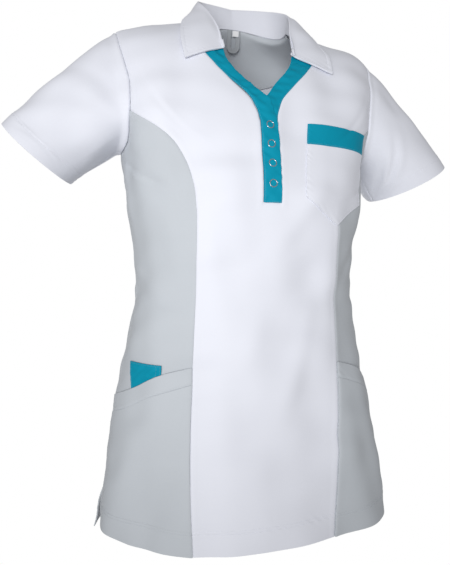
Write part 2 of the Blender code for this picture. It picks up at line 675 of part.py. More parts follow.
def make_side_pocket(side, suffix):
    """The pocket has the side panel's own rows up to its band, so that it lies on it everywhere."""
    band_seam, mouth = pocket_line(BAND_SEAM, BAND_SEAM_SIDE_Z), pocket_line(MOUTH, MOUTH_SIDE_Z)
    band_seam, mouth = band_seam * [side, 1], mouth * [side, 1]
    panel = front_side_places(side)[:POCKET_PANEL_ROWS]
    upper = panel[-1] + (band_seam - panel[-1]) * np.array([0.5, 1.0])[:, None, None]
    pocket = np.concatenate([panel, upper])
    swell = np.sin(np.linspace(0, pi, SIDE_ACROSS + 1))
    rise = np.linspace(0, 1, len(pocket))[:, None] ** 4
    on_panel = PATCH_LIFT + TRIM
    lift = on_panel + MOUTH_OPENS * rise * swell + slit_lift(pocket, SLIT_FRONT_TUCK[side])
    cloth_on_body("side_pocket_" + suffix, pocket, GREY, ["left", "right", "top"], lift, TRIM)
    band = band_seam + (mouth - band_seam) * np.linspace(0, 1, 3)[:, None, None]
    cloth_on_body("side_pocket_band_" + suffix, band, GREY, ["left", "right", "bottom"],
                  on_panel + MOUTH_OPENS * swell, TRIM)


def make_pen_pocket():
    top = np.stack([front_place(x, z) for x, z in PEN_POCKET_TOP])
    top = straight_line(top[0], top[1], 3)
    mouth = pocket_line(MOUTH, MOUTH_SIDE_Z)
    around = np.linspace(*PEN_POCKET_FOOT_TURNS, 4)
    foot = np.stack([around, np.interp(around, mouth[:, 0], mouth[:, 1]) - 2 * SEAM_GAP], -1)
    rows = np.linspace(0, 1, 3)[:, None, None]
    places = (foot + (top - foot) * rows) * [-1, 1]
    cloth_on_body("pen_pocket", places, TEAL, lift=PATCH_LIFT + TRIM, thickness=TRIM)


# Ring snaps down the placket

def make_snap(number):
    around, down = front_place(0.0, SNAP_TOP_Z - SNAP_SPACING * number)
    out = body_out(around, down)
    lift = BAND_OVERLAP_LIFT + SEAM_GAP + SNAP_WIRE_RADIUS
    bpy.ops.mesh.primitive_torus_add(
        major_radius=SNAP_RING_RADIUS, minor_radius=SNAP_WIRE_RADIUS, major_segments=16, minor_segments=6)
    snap = bpy.context.object
    snap.name = snap.data.name = f"snap_{number + 1}"
    snap.location = body(around, down) + out * lift
    snap.rotation_euler = (np.arccos(out[2]), 0, np.arctan2(out[0], -out[1]))
    for collection in list(snap.users_collection):
        collection.objects.unlink(snap)
    PARTS.objects.link(snap)
    snap.data.materials.append(SILVER)
    snap.data.shade_smooth()
    snap.parent = SHIRT


# Inside of the back neck: half-moon facing, hanger loop and size label
FACING_DEPTH = 0.138
FACING_SIDE_DEPTH = 0.060
FACING_TOP = 0.004
FACING_UNDER = CLOTH + 0.0032
FACING_END = SHOULDER_SEAM + radians(9)
LOOP_LENGTH = 0.029
LOOP_HALF_WIDTH = 0.0036
LOOP_TAPE = 0.0040
LOOP_TURN = radians(181.5)
LABEL_TURN = radians(178.0)
LABEL_SIZE = (0.010, 0.010)
INSIDE_STEP = TRIM + 0.0006


def make_back_neck_facing():
    around = np.linspace(FACING_END, 2 * pi - FACING_END, 25)
    depth = FACING_SIDE_DEPTH + (FACING_DEPTH - FACING_SIDE_DEPTH) * np.cos(around) ** 2
    rows = np.linspace(0.0, 1.0, 9)[:, None]
    places = np.stack(np.broadcast_arrays(around[None], FACING_TOP + rows * (depth - FACING_TOP)[None]), -1)
    cloth_on_body("back_neck_facing", places, GREY, lift=-FACING_UNDER, thickness=TRIM)


def inside_place(turn, sideways, down):
    """A place near the centre back, from metres sideways at the neck."""
    return np.stack([turn + sideways / through(BODY[:, 0], BODY[:, 4], down), down], -1)


def make_hanger_loop():
    straight = LOOP_LENGTH - LOOP_HALF_WIDTH - LOOP_TAPE
    bend = np.linspace(0, pi, 9)
    route = [(-LOOP_HALF_WIDTH, d, -1, 0) for d in np.linspace(0.001, straight, 6)[:-1]]
    route += [(-LOOP_HALF_WIDTH * cos(b), straight + LOOP_HALF_WIDTH * sin(b), -cos(b), sin(b)) for b in bend]
    route += [(LOOP_HALF_WIDTH, d, 1, 0) for d in np.linspace(straight, 0.001, 6)[1:]]
    sideways, down, side_x, side_down = np.array(route).T
    width = np.array([0.0, LOOP_TAPE])[:, None]
    places = inside_place(LOOP_TURN, sideways + side_x * width, down + side_down * width)
    cloth_on_body("hanger_loop", places, GREY, lift=-FACING_UNDER - INSIDE_STEP, thickness=TRIM)


def make_neck_label():
    across = np.linspace(-0.5, 0.5, 3)[None] * LABEL_SIZE[0]
    down = 0.001 + np.linspace(0, 1, 3)[:, None] * LABEL_SIZE[1]
    across, down = np.broadcast_arrays(across, down)
    places = inside_place(LABEL_TURN, across, down)
    cloth_on_body("neck_label", places, WHITE, lift=-FACING_UNDER - 2 * INSIDE_STEP, thickness=TRIM)


# Assembly
make_front_centre()
make_back_centre()
for side, suffix in ((-1, "right"), (1, "left")):
    make_front_side(side, suffix)
    make_back_side(side, suffix)
    make_neck_band(side, suffix, over=side < 0)
    make_side_pocket(side, suffix)
for cuff in CUFFS:
    make_sleeve(cuff)
make_collar()
make_chest_pocket()
make_pen_pocket()
for number in range(SNAP_COUNT):
    make_snap(number)
make_back_neck_facing()
make_hanger_loop()
make_neck_label()
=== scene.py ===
"""Looks of the work polo shirt: a short-sleeved work tunic in white and grey cloth with teal trims.

Units are metres, +Z is up, the front faces -Y and +X is the wearer's left. Every cloth piece is cut on the
same form as its solid in the frame, only finer, and carries the seams, hems, stitches and creases of the sewn
garment. A place on the cloth is an angle round from the centre front and a tape down from the neck seam.
"""
from collections import namedtuple
from math import cos, pi, radians, sin

import bpy
import numpy as np
from mathutils import Matrix, Vector, kdtree


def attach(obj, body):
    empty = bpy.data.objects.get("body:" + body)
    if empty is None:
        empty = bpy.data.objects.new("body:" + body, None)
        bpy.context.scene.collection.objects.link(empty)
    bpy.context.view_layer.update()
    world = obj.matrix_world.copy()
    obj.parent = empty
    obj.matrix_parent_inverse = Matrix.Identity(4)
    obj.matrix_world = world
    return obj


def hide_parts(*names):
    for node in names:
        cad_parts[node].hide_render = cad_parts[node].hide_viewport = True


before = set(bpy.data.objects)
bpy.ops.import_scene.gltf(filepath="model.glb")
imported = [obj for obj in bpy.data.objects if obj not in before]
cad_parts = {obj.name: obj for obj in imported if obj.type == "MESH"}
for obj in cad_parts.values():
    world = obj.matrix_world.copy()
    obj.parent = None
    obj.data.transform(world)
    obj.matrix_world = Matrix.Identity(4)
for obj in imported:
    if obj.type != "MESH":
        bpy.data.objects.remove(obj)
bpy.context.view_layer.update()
bpy.ops.object.select_all(action="DESELECT")


# White centre front
# One panel of smooth white work cloth from the shoulders to the hem, cut open for the placket and the V. It
# is sewn to the side panels, the sleeves and the shoulder strip with pressed seams, and its hem is turned up
# 3 cm and held by two rows of stitches.

TAPE_AT_ZERO = 0.080
HEM_Z = -0.702
BUST_Z = -0.285
CLOTH = 0.0015
TRIM = 0.0011
PLACKET_HALF_WIDTH = 0.0120
PLACKET_BOTTOM_Z = -0.272
PLACKET_TOP_Z = -0.168

# The body, ring by ring from the neck seam to below the hem: the tape measure, the heights at side, front and
# back, the half width, the depths before and behind the side seams, and how square the ring is (ellipse: 2)
BODY = np.array([
    (0.000, 0.000, -0.040, 0.024, 0.068, 0.050, 0.052, 2.00),
    (0.058, -0.012, -0.066, -0.003, 0.124, 0.072, 0.074, 2.05),
    (0.125, -0.032, -0.104, -0.044, 0.188, 0.087, 0.090, 2.20),
    (0.200, -0.120, -0.158, -0.118, 0.189, 0.103, 0.104, 2.80),
    (0.275, -0.195, -0.208, -0.190, 0.178, 0.113, 0.106, 2.55),
    (0.335, -0.255, -0.258, -0.252, 0.172, 0.120, 0.102, 2.35),
    (0.385, -0.305, -0.306, -0.304, 0.163, 0.114, 0.096, 2.30),
    (0.450, -0.370, -0.370, -0.370, 0.158, 0.104, 0.098, 2.20),
    (0.560, -0.480, -0.480, -0.480, 0.176, 0.109, 0.116, 2.20),
    (0.680, -0.600, -0.600, -0.600, 0.195, 0.118, 0.128, 2.20),
    (0.800, -0.720, -0.720, -0.720, 0.210, 0.126, 0.134, 2.20),
])

# The soft folds of the frame: where each lies in degrees and tape, how far it runs up and down, its width and
# lean in degrees, and how high it stands. A negative height is a hollow.
Fold = namedtuple("Fold", "around down run width lean height")
FOLDS = [Fold(*numbers) for numbers in (
    (-62, 0.69, 0.11, 9, -14, 0.0045), (-44, 0.74, 0.09, 7, -6, -0.0035), (-8, 0.72, 0.12, 10, 4, 0.0035),
    (40, 0.74, 0.1, 9, 8, 0.004), (66, 0.7, 0.12, 8, 10, -0.004), (112, 0.7, 0.12, 10, 8, 0.0045),
    (146, 0.73, 0.11, 9, 4, -0.004), (176, 0.71, 0.13, 11, 0, 0.0045), (-148, 0.73, 0.11, 9, -5, -0.004),
    (-116, 0.7, 0.12, 10, -8, 0.0045), (-52, 0.33, 0.045, 8, 16, -0.0025), (56, 0.42, 0.05, 8, -18, -0.003),
    (24, 0.76, 0.15, 11, 2, -0.0065), (22, 0.44, 0.09, 9, 4, -0.002), (-30, 0.45, 0.08, 8, -5, 0.002),
    (150, 0.43, 0.08, 12, 0, -0.0035), (-150, 0.43, 0.08, 12, 0, -0.0035), (128, 0.3, 0.06, 8, 20, -0.003),
    (-128, 0.3, 0.06, 8, -20, -0.003),
)]
# Creases that are finer than the frame's folds, and the slow unevenness that any hanging cloth has
CREASES = [Fold(*numbers) for numbers in (
    (-40, 0.205, 0.035, 3.5, 12, -0.001), (-33, 0.22, 0.04, 3, 12, 0.0008),
    (38, 0.215, 0.035, 3.5, -12, -0.001), (-70, 0.305, 0.03, 4, 26, -0.0013),
    (-63, 0.318, 0.03, 3.5, 26, 0.001), (74, 0.3, 0.03, 4, -26, -0.0013), (-78, 0.44, 0.022, 9, 22, 0.0012),
    (-74, 0.465, 0.018, 9, 24, -0.0012), (80, 0.445, 0.022, 9, -22, 0.0012),
    (76, 0.47, 0.018, 9, -24, -0.0012), (9, 0.57, 0.07, 5, -8.5, 0.0028), (33, 0.42, 0.1, 8, 0, 0.003),
    (33, 0.66, 0.12, 9, 0, 0.0036), (56, 0.69, 0.1, 12, 4, 0.004), (-23, 0.69, 0.07, 8, 0, 0.0024),
    (9, 0.375, 0.05, 6, -10, 0.0022), (-4, 0.51, 0.05, 6, -6, 0.002), (-98, 0.315, 0.05, 7, 3, -0.0045),
    (-83, 0.315, 0.045, 5, 2, 0.0024), (110, 0.45, 0.02, 10, -20, 0.0013),
    (-110, 0.45, 0.02, 10, 20, 0.0013), (118, 0.475, 0.018, 10, -22, -0.0012),
    (-118, 0.475, 0.018, 10, 22, -0.0012), (140, 0.25, 0.05, 4, 16, 0.0012),
    (-140, 0.25, 0.05, 4, -16, 0.0012), (165, 0.33, 0.07, 4.5, 6, -0.0009),
    (-170, 0.38, 0.08, 4.5, -6, 0.0009),
)]
UNEVEN_SLOPE = 0.050
UNEVEN_LENGTHS = (0.035, 0.115)
UNEVEN_WAVES = 14
UNEVEN_SEED = 5
CRUMPLE_SLOPE = 0.075
CRUMPLE_LENGTHS = (0.006, 0.019)
CRUMPLE_WAVES = 12
CRUMPLE_SEED = 8
CRUMPLE_FROM_EDGE = 0.004

PRINCESS_FRONT = [
    (0.095, HEM_Z), (0.098, -0.600), (0.099, -0.490), (0.098, -0.380), (0.096, BUST_Z),
    (0.100, -0.250), (0.109, -0.218), (0.126, -0.190), (0.149, -0.170),
]
SWAY = [(HEM_Z, -0.008), (-0.600, -0.006), (-0.490, 0.000), (-0.380, 0.006), (BUST_Z, 0.002), (-0.150, 0.0)]
V_OUTER = [(0.0160, -0.150), (0.026, -0.129), (0.046, -0.107), (0.067, -0.084), (0.0785, -0.066)]
V_OUTER_TURN = radians(54.0)
V_INNER_TURN = radians(22.5)
COLLAR_FRONT_DOWN = 0.060
ARMHOLE_TOP = 0.121
ARMHOLE_BOTTOM = 0.271
ARMHOLE_FRONT = radians(29.0)
ARMHOLE_BACK = radians(26.0)
SHOULDER_SEAM_TURN = radians(24.0)
PRINCESS_FRONT_TURN = radians(112.0)
SHOULDER_SEAM = pi / 2 - ARMHOLE_FRONT * sin(SHOULDER_SEAM_TURN)

# The frame's rows in each stretch of the panel, how many finer rows each of them gets, and the close rows
# that the hem needs, in metres from its edge
HEM_TO_BUST = 17
BUST_TO_ARMHOLE = 8
FRONT_ARMHOLE = 7
PLACKET_ROWS = 5
V_ROWS = 7
NECK_ROWS = BUST_TO_ARMHOLE + FRONT_ARMHOLE - PLACKET_ROWS - V_ROWS
FINE = 6
ROW_HEIGHT = (BUST_Z - HEM_Z) / HEM_TO_BUST
HEM_CLOSE = np.arange(0, 0.036, 0.0009) / ROW_HEIGHT
SEAM_CLOSE = np.array([0, 0.006, 0.014, 0.026, 0.045, 0.075])

# Pressed seams and hems: how closely points are set on a line before places are measured from it, the groove
# at a seam, the layers of allowance beside it, the groove that each row of stitches pulls, and the puckers
LINE_STEP = 0.0006
SEAM_DIP = 0.0007
SEAM_DIP_WIDTH = 0.0011
ALLOWANCE = 0.0065
ALLOWANCE_RISE = 0.0003
ALLOWANCE_FALL = 0.0020
HEM_DEPTH = 0.0300
HEM_RISE = 0.0004
HEM_FALL = 0.0015
HEM_ROWS = (0.0258, 0.0296)
ROW_DIP = 0.00042
ROW_DIP_WIDTH = 0.0008
PUCKER = 0.00022
PUCKER_REACH = 0.0060
PUCKER_LENGTH = 0.0090


def through(stations, values, at):
    """A smooth curve through values at stations, read at the given places."""
    stations = np.asarray(stations, float)
    values = np.asarray(values, float)
    slope = np.gradient(values, stations, axis=0)
    left = np.clip(np.searchsorted(stations, at) - 1, 0, len(stations) - 2)
    span = stations[left + 1] - stations[left]
    u = (at - stations[left]) / span
    shape = np.shape(at) + (1,) * (values.ndim - 1)
    u, span = u.reshape(shape), span.reshape(shape)
    start = (1 + 2 * u) * (1 - u) ** 2 * values[left] + u * (1 - u) ** 2 * span * slope[left]
    end = u * u * (3 - 2 * u) * values[left + 1] + u * u * (u - 1) * span * slope[left + 1]
    return start + end


def smooth_step(x):
    x = np.clip(x, 0, 1)
    return x * x * (3 - 2 * x)


def section(down):
    return np.moveaxis(through(BODY[:, 0], BODY[:, 1:], np.asarray(down, float)), -1, 0)


def plain_body(around, down):
    around, down = np.broadcast_arrays(np.asarray(around, float), np.asarray(down, float))
    side_z, front_z, back_z, half_width, front_depth, back_depth, square = section(down)
    s, c = np.sin(around), np.cos(around)
    power = 2 / square
    x = half_width * np.sign(s) * np.abs(s) ** power
    y = np.where(c > 0, -front_depth, back_depth) * np.abs(c) ** power
    z = side_z + (np.where(c > 0, front_z, back_z) - side_z) * c * c
    return np.stack([x, y, z], -1)


def fold_height(folds, around, down):
    total = np.zeros(np.broadcast(around, down).shape)
    for fold in folds:
        along = (down - fold.down) / fold.run
        centre = fold.around + fold.lean * along
        across = (np.degrees(around) - centre + 180) % 360 - 180
        total = total + fold.height * np.exp(-(across / fold.width) ** 2 - along ** 2)
    return total


def waves(points, slope, lengths, count, seed):
    """Waves of mixed lengths that cross each other at random, each with about the same slope."""
    chance = np.random.default_rng(seed)
    total = np.zeros(np.shape(points)[:-1])
    for _ in range(count):
        way = unit(chance.normal(size=3))
        turns = 2 * pi / chance.uniform(*lengths)
        total += slope / turns * np.sin(turns * (points @ way) + chance.uniform(0, 2 * pi))
    return total


def unevenness(points):
    """The slow unevenness of hanging cloth."""
    return waves(points, UNEVEN_SLOPE, UNEVEN_LENGTHS, UNEVEN_WAVES, UNEVEN_SEED)


def crumple(points, from_edge):
    """The fine uneven wrinkles of a narrow band that was sewn down, none at its edges."""
    wrinkles = waves(points, CRUMPLE_SLOPE, CRUMPLE_LENGTHS, CRUMPLE_WAVES, CRUMPLE_SEED)
    return wrinkles * smooth_step(from_edge / CRUMPLE_FROM_EDGE)


def unit(vectors):
    return vectors / np.linalg.norm(vectors, axis=-1, keepdims=True)


def crossed(surface, around, down, step=2e-4):
    """The unit direction out of a surface."""
    along = surface(around, down + step) - surface(around, down - step)
    across = surface(around + step, down) - surface(around - step, down)
    return unit(np.cross(along, across))


def body(around, down):
    plain = plain_body(around, down)
    height = fold_height(FOLDS + CREASES, around, down) + unevenness(plain)
    return plain + crossed(plain_body, around, down) * height[..., None]


def body_out(around, down):
    return crossed(body, around, down)


def front_place(x, z):
    """Where the front has the given x and height, as an angle round and a tape measure down."""
    x, z = np.broadcast_arrays(np.asarray(x, float), np.asarray(z, float))
    low, high = np.zeros(x.shape), np.full(x.shape, BODY[-1, 0])
    for _ in range(40):
        down = (low + high) / 2
        side_z, front_z, _, half_width, _, _, square = section(down)
        turn = np.clip(np.abs(x) / half_width, 0, 1) ** (square / 2)
        too_low = side_z + (front_z - side_z) * (1 - turn ** 2) < z
        high = np.where(too_low, down, high)
        low = np.where(too_low, low, down)
    return np.stack([np.sign(x) * np.arcsin(turn), down], -1)


def tape(z):
    return TAPE_AT_ZERO - z


def run_of(points):
    """How far along a line of points each point lies."""
    return np.concatenate([[0], np.cumsum(np.linalg.norm(np.diff(points, axis=0), axis=1))])


def read_along(line, run, at):
    """Where a line of points passes, at distances along it."""
    return np.stack([np.interp(at, run, column) for column in line.T], -1)


# A line on the cloth is a function of the share of it that is passed, from 0 to 1.

def even_line(keys):
    between = np.linspace(0, len(keys) - 1, 48 * (len(keys) - 1) + 1)
    fine = through(np.arange(len(keys)), np.array(keys), between)
    run = run_of(plain_body(*fine.T))
    return lambda share: read_along(fine, run, share * run[-1])


def stretch(line, start, end):
    """A stretch of a line that is given as a function of some measure of its own."""
    return lambda share: line(start + (end - start) * share)


def upright(x, low_z, high_z):
    return stretch(lambda z: front_place(x, z), low_z, high_z)


def armhole(turn):
    """The armhole seam of the wearer's left side, from its top forwards, under the arm and up the back."""
    reach = np.where(np.sin(turn) > 0, ARMHOLE_FRONT, ARMHOLE_BACK)
    middle = (ARMHOLE_TOP + ARMHOLE_BOTTOM) / 2
    half = (ARMHOLE_BOTTOM - ARMHOLE_TOP) / 2
    return np.stack([pi / 2 - reach * np.sin(turn), middle - half * np.cos(turn)], -1)


def collar_seam(around):
    """Where the collar is sewn on: the neck ring behind, falling to the V in front."""
    fall = np.clip((SHOULDER_SEAM - np.abs(around)) / (SHOULDER_SEAM - V_INNER_TURN), 0, 1)
    return np.stack([around, COLLAR_FRONT_DOWN * fall ** 1.75], -1)


def joined(rows, stretches):
    """One line from several, each given with its number of rows, read at the rows."""
    ends = np.cumsum([0] + [count for count, _ in stretches])
    stretch_at = np.clip(np.searchsorted(ends, rows, side="right") - 1, 0, len(stretches) - 1)
    line = np.empty((len(rows), 2))
    for k, (count, read) in enumerate(stretches):
        mine = stretch_at == k
        line[mine] = read((rows[mine] - ends[k]) / count)
    return line


def fine_rows(last):
    """Row numbers from the hem to the last row, close together at both ends."""
    near_top = last - SEAM_CLOSE[::-1] * 4
    between = np.linspace(2, last - 1, (last - 3) * FINE + 1)
    return np.concatenate([HEM_CLOSE, [1.6, 1.8], between, [last - 0.75, last - 0.5], near_top])


def close_ends(start, end, count):
    """Columns from start to end, close together at both seams."""
    between = np.linspace(SEAM_CLOSE[-1] + 0.025, 1 - SEAM_CLOSE[-1] - 0.025, count)
    share = np.concatenate([SEAM_CLOSE, between, 1 - SEAM_CLOSE[::-1]])
    return start + (end - start) * share


def four_sided(bottom, top, left, right, rows, columns):
    """A grid of places between four lines that share their corners, at row and column shares from 0 to 1."""
    u, v = rows[:, None, None], columns[None, :, None]
    across = (1 - v) * left[:, None] + v * right[:, None]
    upward = (1 - u) * bottom[None] + u * top[None]
    corners = (1 - u) * ((1 - v) * left[0] + v * right[0]) + u * ((1 - v) * left[-1] + v * right[-1])
    return across + upward - corners


def straight_line(start, end, shares):
    return start + (end - start) * np.asarray(shares)[:, None]


def half_panel(inner, outer, rows):
    """Half of a centre panel, from its middle line to its side seam, with a level hem."""
    hem = straight_line(inner[0], outer[0], PANEL_COLUMNS)
    hem[:, 1] = tape(HEM_Z)
    top = straight_line(inner[-1], outer[-1], PANEL_COLUMNS)
    return four_sided(hem, top, inner, outer, rows / rows[-1], PANEL_COLUMNS)


def sway(z):
    heights, metres = np.array(SWAY).T
    return through(heights, metres, np.asarray(z, float))


def princess_front(side):
    keys = [front_place(x + side * sway(z), z) for x, z in PRINCESS_FRONT] + [armhole(PRINCESS_FRONT_TURN)]
    return [(HEM_TO_BUST, even_line(keys[:5])), (BUST_TO_ARMHOLE, even_line(keys[4:]))]


def v_edge(points, placket_x, top_turn):
    """A V band's edge from the placket's foot up to the collar seam."""
    slope = [front_place(placket_x, PLACKET_TOP_Z)]
    slope += [front_place(x, z) for x, z in points] + [collar_seam(np.array(top_turn))]
    return [(PLACKET_ROWS, upright(placket_x, PLACKET_BOTTOM_Z, PLACKET_TOP_Z)), (V_ROWS, even_line(slope))]


def distance_to(lines, points):
    """How far each point is from the nearest of the lines."""
    dense = []
    for line in lines:
        run = run_of(line)
        dense.append(read_along(line, run, np.linspace(0, run[-1], int(run[-1] / LINE_STEP) + 2)))
    dense = np.concatenate(dense)
    tree = kdtree.KDTree(len(dense))
    for k, at in enumerate(dense):
        tree.insert(at, k)
    tree.balance()
    flat = np.reshape(points, (-1, 3))
    return np.array([tree.find(at)[2] for at in flat]).reshape(np.shape(points)[:-1])


def puckers(points, distance, reach=PUCKER_REACH):
    """Small ripples square to a stitched line, which die away from it."""
    along = points[..., 0] * 0.8 + points[..., 1] * 0.6 + points[..., 2]
    uneven = 0.6 + 0.4 * np.sin(along * 2 * pi / 0.047 + 1.0)
    ripple = np.sin(along * 2 * pi / PUCKER_LENGTH + 2.5 * np.sin(along * 2 * pi / 0.061))
    return PUCKER * uneven * ripple * np.exp(-(distance / reach) ** 2)


def groove(distance, depth):
    return -depth * np.exp(-(distance / SEAM_DIP_WIDTH) ** 2)


def layer(distance, width, fall):
    """How much of a layer that is turned in along a line lies under each place, from 1 to 0."""
    return 1 - smooth_step((distance - width) / fall)


def seam_relief(points, lines):
    distance = distance_to(lines, points)
    allowance = ALLOWANCE_RISE * layer(distance, ALLOWANCE, ALLOWANCE_FALL)
    return groove(distance, SEAM_DIP) + allowance + puckers(points, distance)


def stitch_relief(points, distance, rows):
    grooves = sum(np.exp(-((distance - row) / ROW_DIP_WIDTH) ** 2) for row in rows)
    return -ROW_DIP * grooves + puckers(points, distance - np.mean(rows))


def hem_relief(points, line, depth=HEM_DEPTH, rows=HEM_ROWS):
    distance = distance_to([line], points)
    return HEM_RISE * layer(distance, depth, HEM_FALL) + stitch_relief(points, distance, rows)


def raised(places, seams=(), hem=None, lift=0.0):
    """The outer face of a piece on the body, with its seams and its hem, and the direction out of it."""
    around, down = places[..., 0], places[..., 1]
    points, out = body(around, down), body_out(around, down)
    height = np.zeros(around.shape) + lift
    if len(seams):
        height = height + seam_relief(points, seams)
    if hem is not None:
        height = height + hem_relief(points, hem)
    return points + out * height[..., None], out


def cloth_line(places):
    return body(*np.reshape(places, (-1, 2)).T)


class Wire:
    """A socket in a material's nodes. Arithmetic on wires adds the Math nodes that work it out."""

    def __init__(self, tree, socket=None):
        self.tree = tree
        self.socket = socket

    def node(self, kind, settings=None, sockets=None, output=0):
        made = self.tree.nodes.new("ShaderNode" + kind)
        for name, value in (settings or {}).items():
            setattr(made, name, value)
        for name, value in (sockets or {}).items():
            if isinstance(value, Wire):
                self.tree.links.new(value.socket, made.inputs[name])
            else:
                made.inputs[name].default_value = value
        return Wire(self.tree, made.outputs[output])

    def maths(self, operation, *values):
        return self.node("Math", {"operation": operation}, dict(enumerate(values)))

    def noise(self, scale, detail=2.0, roughness=0.5):
        sockets = {"Scale": scale, "Detail": detail, "Roughness": roughness}
        return self.node("TexNoise", {}, {"Vector": self.node("TexCoord", output=3), **sockets})

    def __add__(self, other):
        return self.maths("ADD", self, other)

    def __sub__(self, other):
        return self.maths("SUBTRACT", self, other)

    def __mul__(self, other):
        return self.maths("MULTIPLY", self, other)


def new_material(name):
    material = bpy.data.materials.new(name)
    material.use_nodes = True
    return material, material.node_tree.nodes["Principled BSDF"], Wire(material.node_tree)


def two_tones(wire, share, colour, other):
    return wire.node("Mix", {"data_type": "RGBA"}, {0: share, 6: (*colour, 1), 7: (*other, 1)}, output=2)


def cover(shader, wire, tones, roughness, strength, distance, height):
    """Gives a surface its tones, its roughness and a fine relief of the given depth."""
    relief = wire.node("Bump", {}, {"Strength": strength, "Distance": distance, "Height": height})
    for name, value in (("Base Color", tones), ("Roughness", roughness), ("Normal", relief)):
        wire.tree.links.new(value.socket, shader.inputs[name])


# The cloth: a close twill of spun yarn, seen as fine slanting ribs
RIB_PITCH = 0.00075
YARN_PITCH = 0.00042


def cloth_finish(name, colour, shade, roughness, sheen=0.15, gloss=0.30):
    """A close twill. Its ribs follow the cloth's own flat pattern, kept in metres in its UV map."""
    material, shader, wire = new_material(name)
    flat = wire.node("UVMap", {"uv_map": "flat"})
    across, up = (wire.node("SeparateXYZ", sockets={0: flat}, output=axis) for axis in (0, 1))
    slub, fuzz, tone = wire.noise(420.0, 3.0), wire.noise(1500.0), wire.noise(14.0, 4.0, 0.6)
    ribs = ((across + up + slub * 0.0004) * (2 * pi / RIB_PITCH)).maths("SINE")
    yarns = ((across - up * 0.3) * (2 * pi / YARN_PITCH)).maths("SINE")
    height = ribs * 0.5 + yarns * 0.25 + fuzz * 0.8
    worn = tone * 0.55 + slub * 0.30 + ribs * 0.05 - 0.15
    tones = two_tones(wire, worn, colour, shade)
    cover(shader, wire, tones, fuzz * 0.14 + (roughness - 0.07), 0.35, 6e-5, height)
    for name, value in (("Sheen Weight", sheen), ("Sheen Roughness", 0.45), ("Specular IOR Level", gloss)):
        shader.inputs[name].default_value = value
    return material


def thread_finish(name, colour):
    """Spun sewing thread, with the twist of its plies as a fine slanting bump."""
    material, shader, wire = new_material(name)
    place, fluff = wire.node("TexCoord", output=3), wire.noise(2200.0)
    twist = wire.node("TexWave", {"bands_direction": "DIAGONAL"}, {"Vector": place, "Scale": 900.0})
    paler = tuple(1 - (1 - c) * 0.82 for c in colour)
    cover(shader, wire, two_tones(wire, fluff, colour, paler), fluff * 0.2 + 0.5, 0.5, 5e-5, twist + fluff)
    return material


Stuff = namedtuple("Stuff", "cloth thread slot")


def dyed(name, colour, shade, roughness, **more):
    """A cloth and the thread of its colour, with the cloth's material name beside them."""
    cloth = cloth_finish(name + "_cloth", colour, shade, roughness, **more)
    return Stuff(cloth, thread_finish(name + "_thread", colour), name + "_cloth")


WHITE = dyed("white", (0.785, 0.800, 0.872), (0.740, 0.755, 0.830), 0.72)


def flat_pattern(points):
    """Each grid point's place on the cloth laid flat, in metres across and up."""
    across = np.linalg.norm(np.diff(points, axis=1), axis=2).cumsum(1)
    across = np.concatenate([np.zeros((len(points), 1)), across], 1)
    up = np.linalg.norm(np.diff(points, axis=0), axis=2).cumsum(0)
    up = np.concatenate([np.zeros((1, points.shape[1])), up], 0)
    across -= across[:, -1:] / 2
    return np.stack([across, np.broadcast_to(up.mean(1, keepdims=True), across.shape)], -1)


def into_scene(name, data):
    thing = bpy.data.objects.new(name, data)
    bpy.context.scene.collection.objects.link(thing)
    return thing


def placed(name, mesh, finish):
    """A piece of the shirt in the scene and in the frame's one body."""
    mesh.materials.append(finish)
    piece = into_scene(name, mesh)
    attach(piece, "root")
    return piece


def round_edges(piece, sharper_than, width, segments):
    edge = piece.modifiers.new("edge", "BEVEL")
    edge.limit_method, edge.angle_limit = "ANGLE", radians(sharper_than)
    edge.width, edge.segments = width, segments


def apply_modifiers(piece):
    bpy.context.view_layer.objects.active = piece
    for name in [modifier.name for modifier in piece.modifiers]:
        bpy.ops.object.modifier_apply(modifier=name)


def sew(name, points, out, stuff, thickness=CLOTH, keep=None):
    """A piece of cloth through a grid of points on its outer face, with its thickness and its rounded edges.
    keep says which cells of the grid are cloth. It stands for the frame's solid of the same name."""
    rows, columns = points.shape[:2]
    number = np.arange(rows * columns).reshape(rows, columns)
    cells = np.stack([number[:-1, :-1], number[:-1, 1:], number[1:, 1:], number[1:, :-1]], -1)
    middle = (rows // 2, columns // 2)
    along, across = np.gradient(points, axis=0)[middle], np.gradient(points, axis=1)[middle]
    if np.cross(across, along) @ out[middle] < 0:
        cells = cells[..., ::-1]
    cells = cells.reshape(-1, 4) if keep is None else cells[keep]
    used, faces = np.unique(cells, return_inverse=True)
    faces = faces.reshape(cells.shape)
    mesh = bpy.data.meshes.new(name)
    mesh.from_pydata(points.reshape(-1, 3)[used].tolist(), [], faces.tolist())
    flat = flat_pattern(points).reshape(-1, 2)[used]
    mesh.uv_layers.new(name="flat").data.foreach_set("uv", flat[faces.ravel()].ravel())
    piece = placed(name + "_cloth", mesh, stuff.cloth)
    piece.modifiers.new("join", "WELD").merge_threshold = 1e-5
    wall = piece.modifiers.new("wall", "SOLIDIFY")
    wall.thickness, wall.offset = thickness, -1.0
    round_edges(piece, 50, thickness * 0.3, 2)
    apply_modifiers(piece)
    mesh.shade_smooth()
    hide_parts(name)
    return piece


# A stitch is a short thread that dives into the cloth at both ends
STITCH_LENGTH = 0.0027
STITCH_GAP = 0.0006
THREAD_RADIUS = 0.00021
STITCH_STATIONS = np.array([0.0, 0.12, 0.5, 0.88, 1.0])
STITCH_WIDTHS = np.array([0.35, 0.85, 1.0, 0.85, 0.35])
STITCH_SIDES = 5


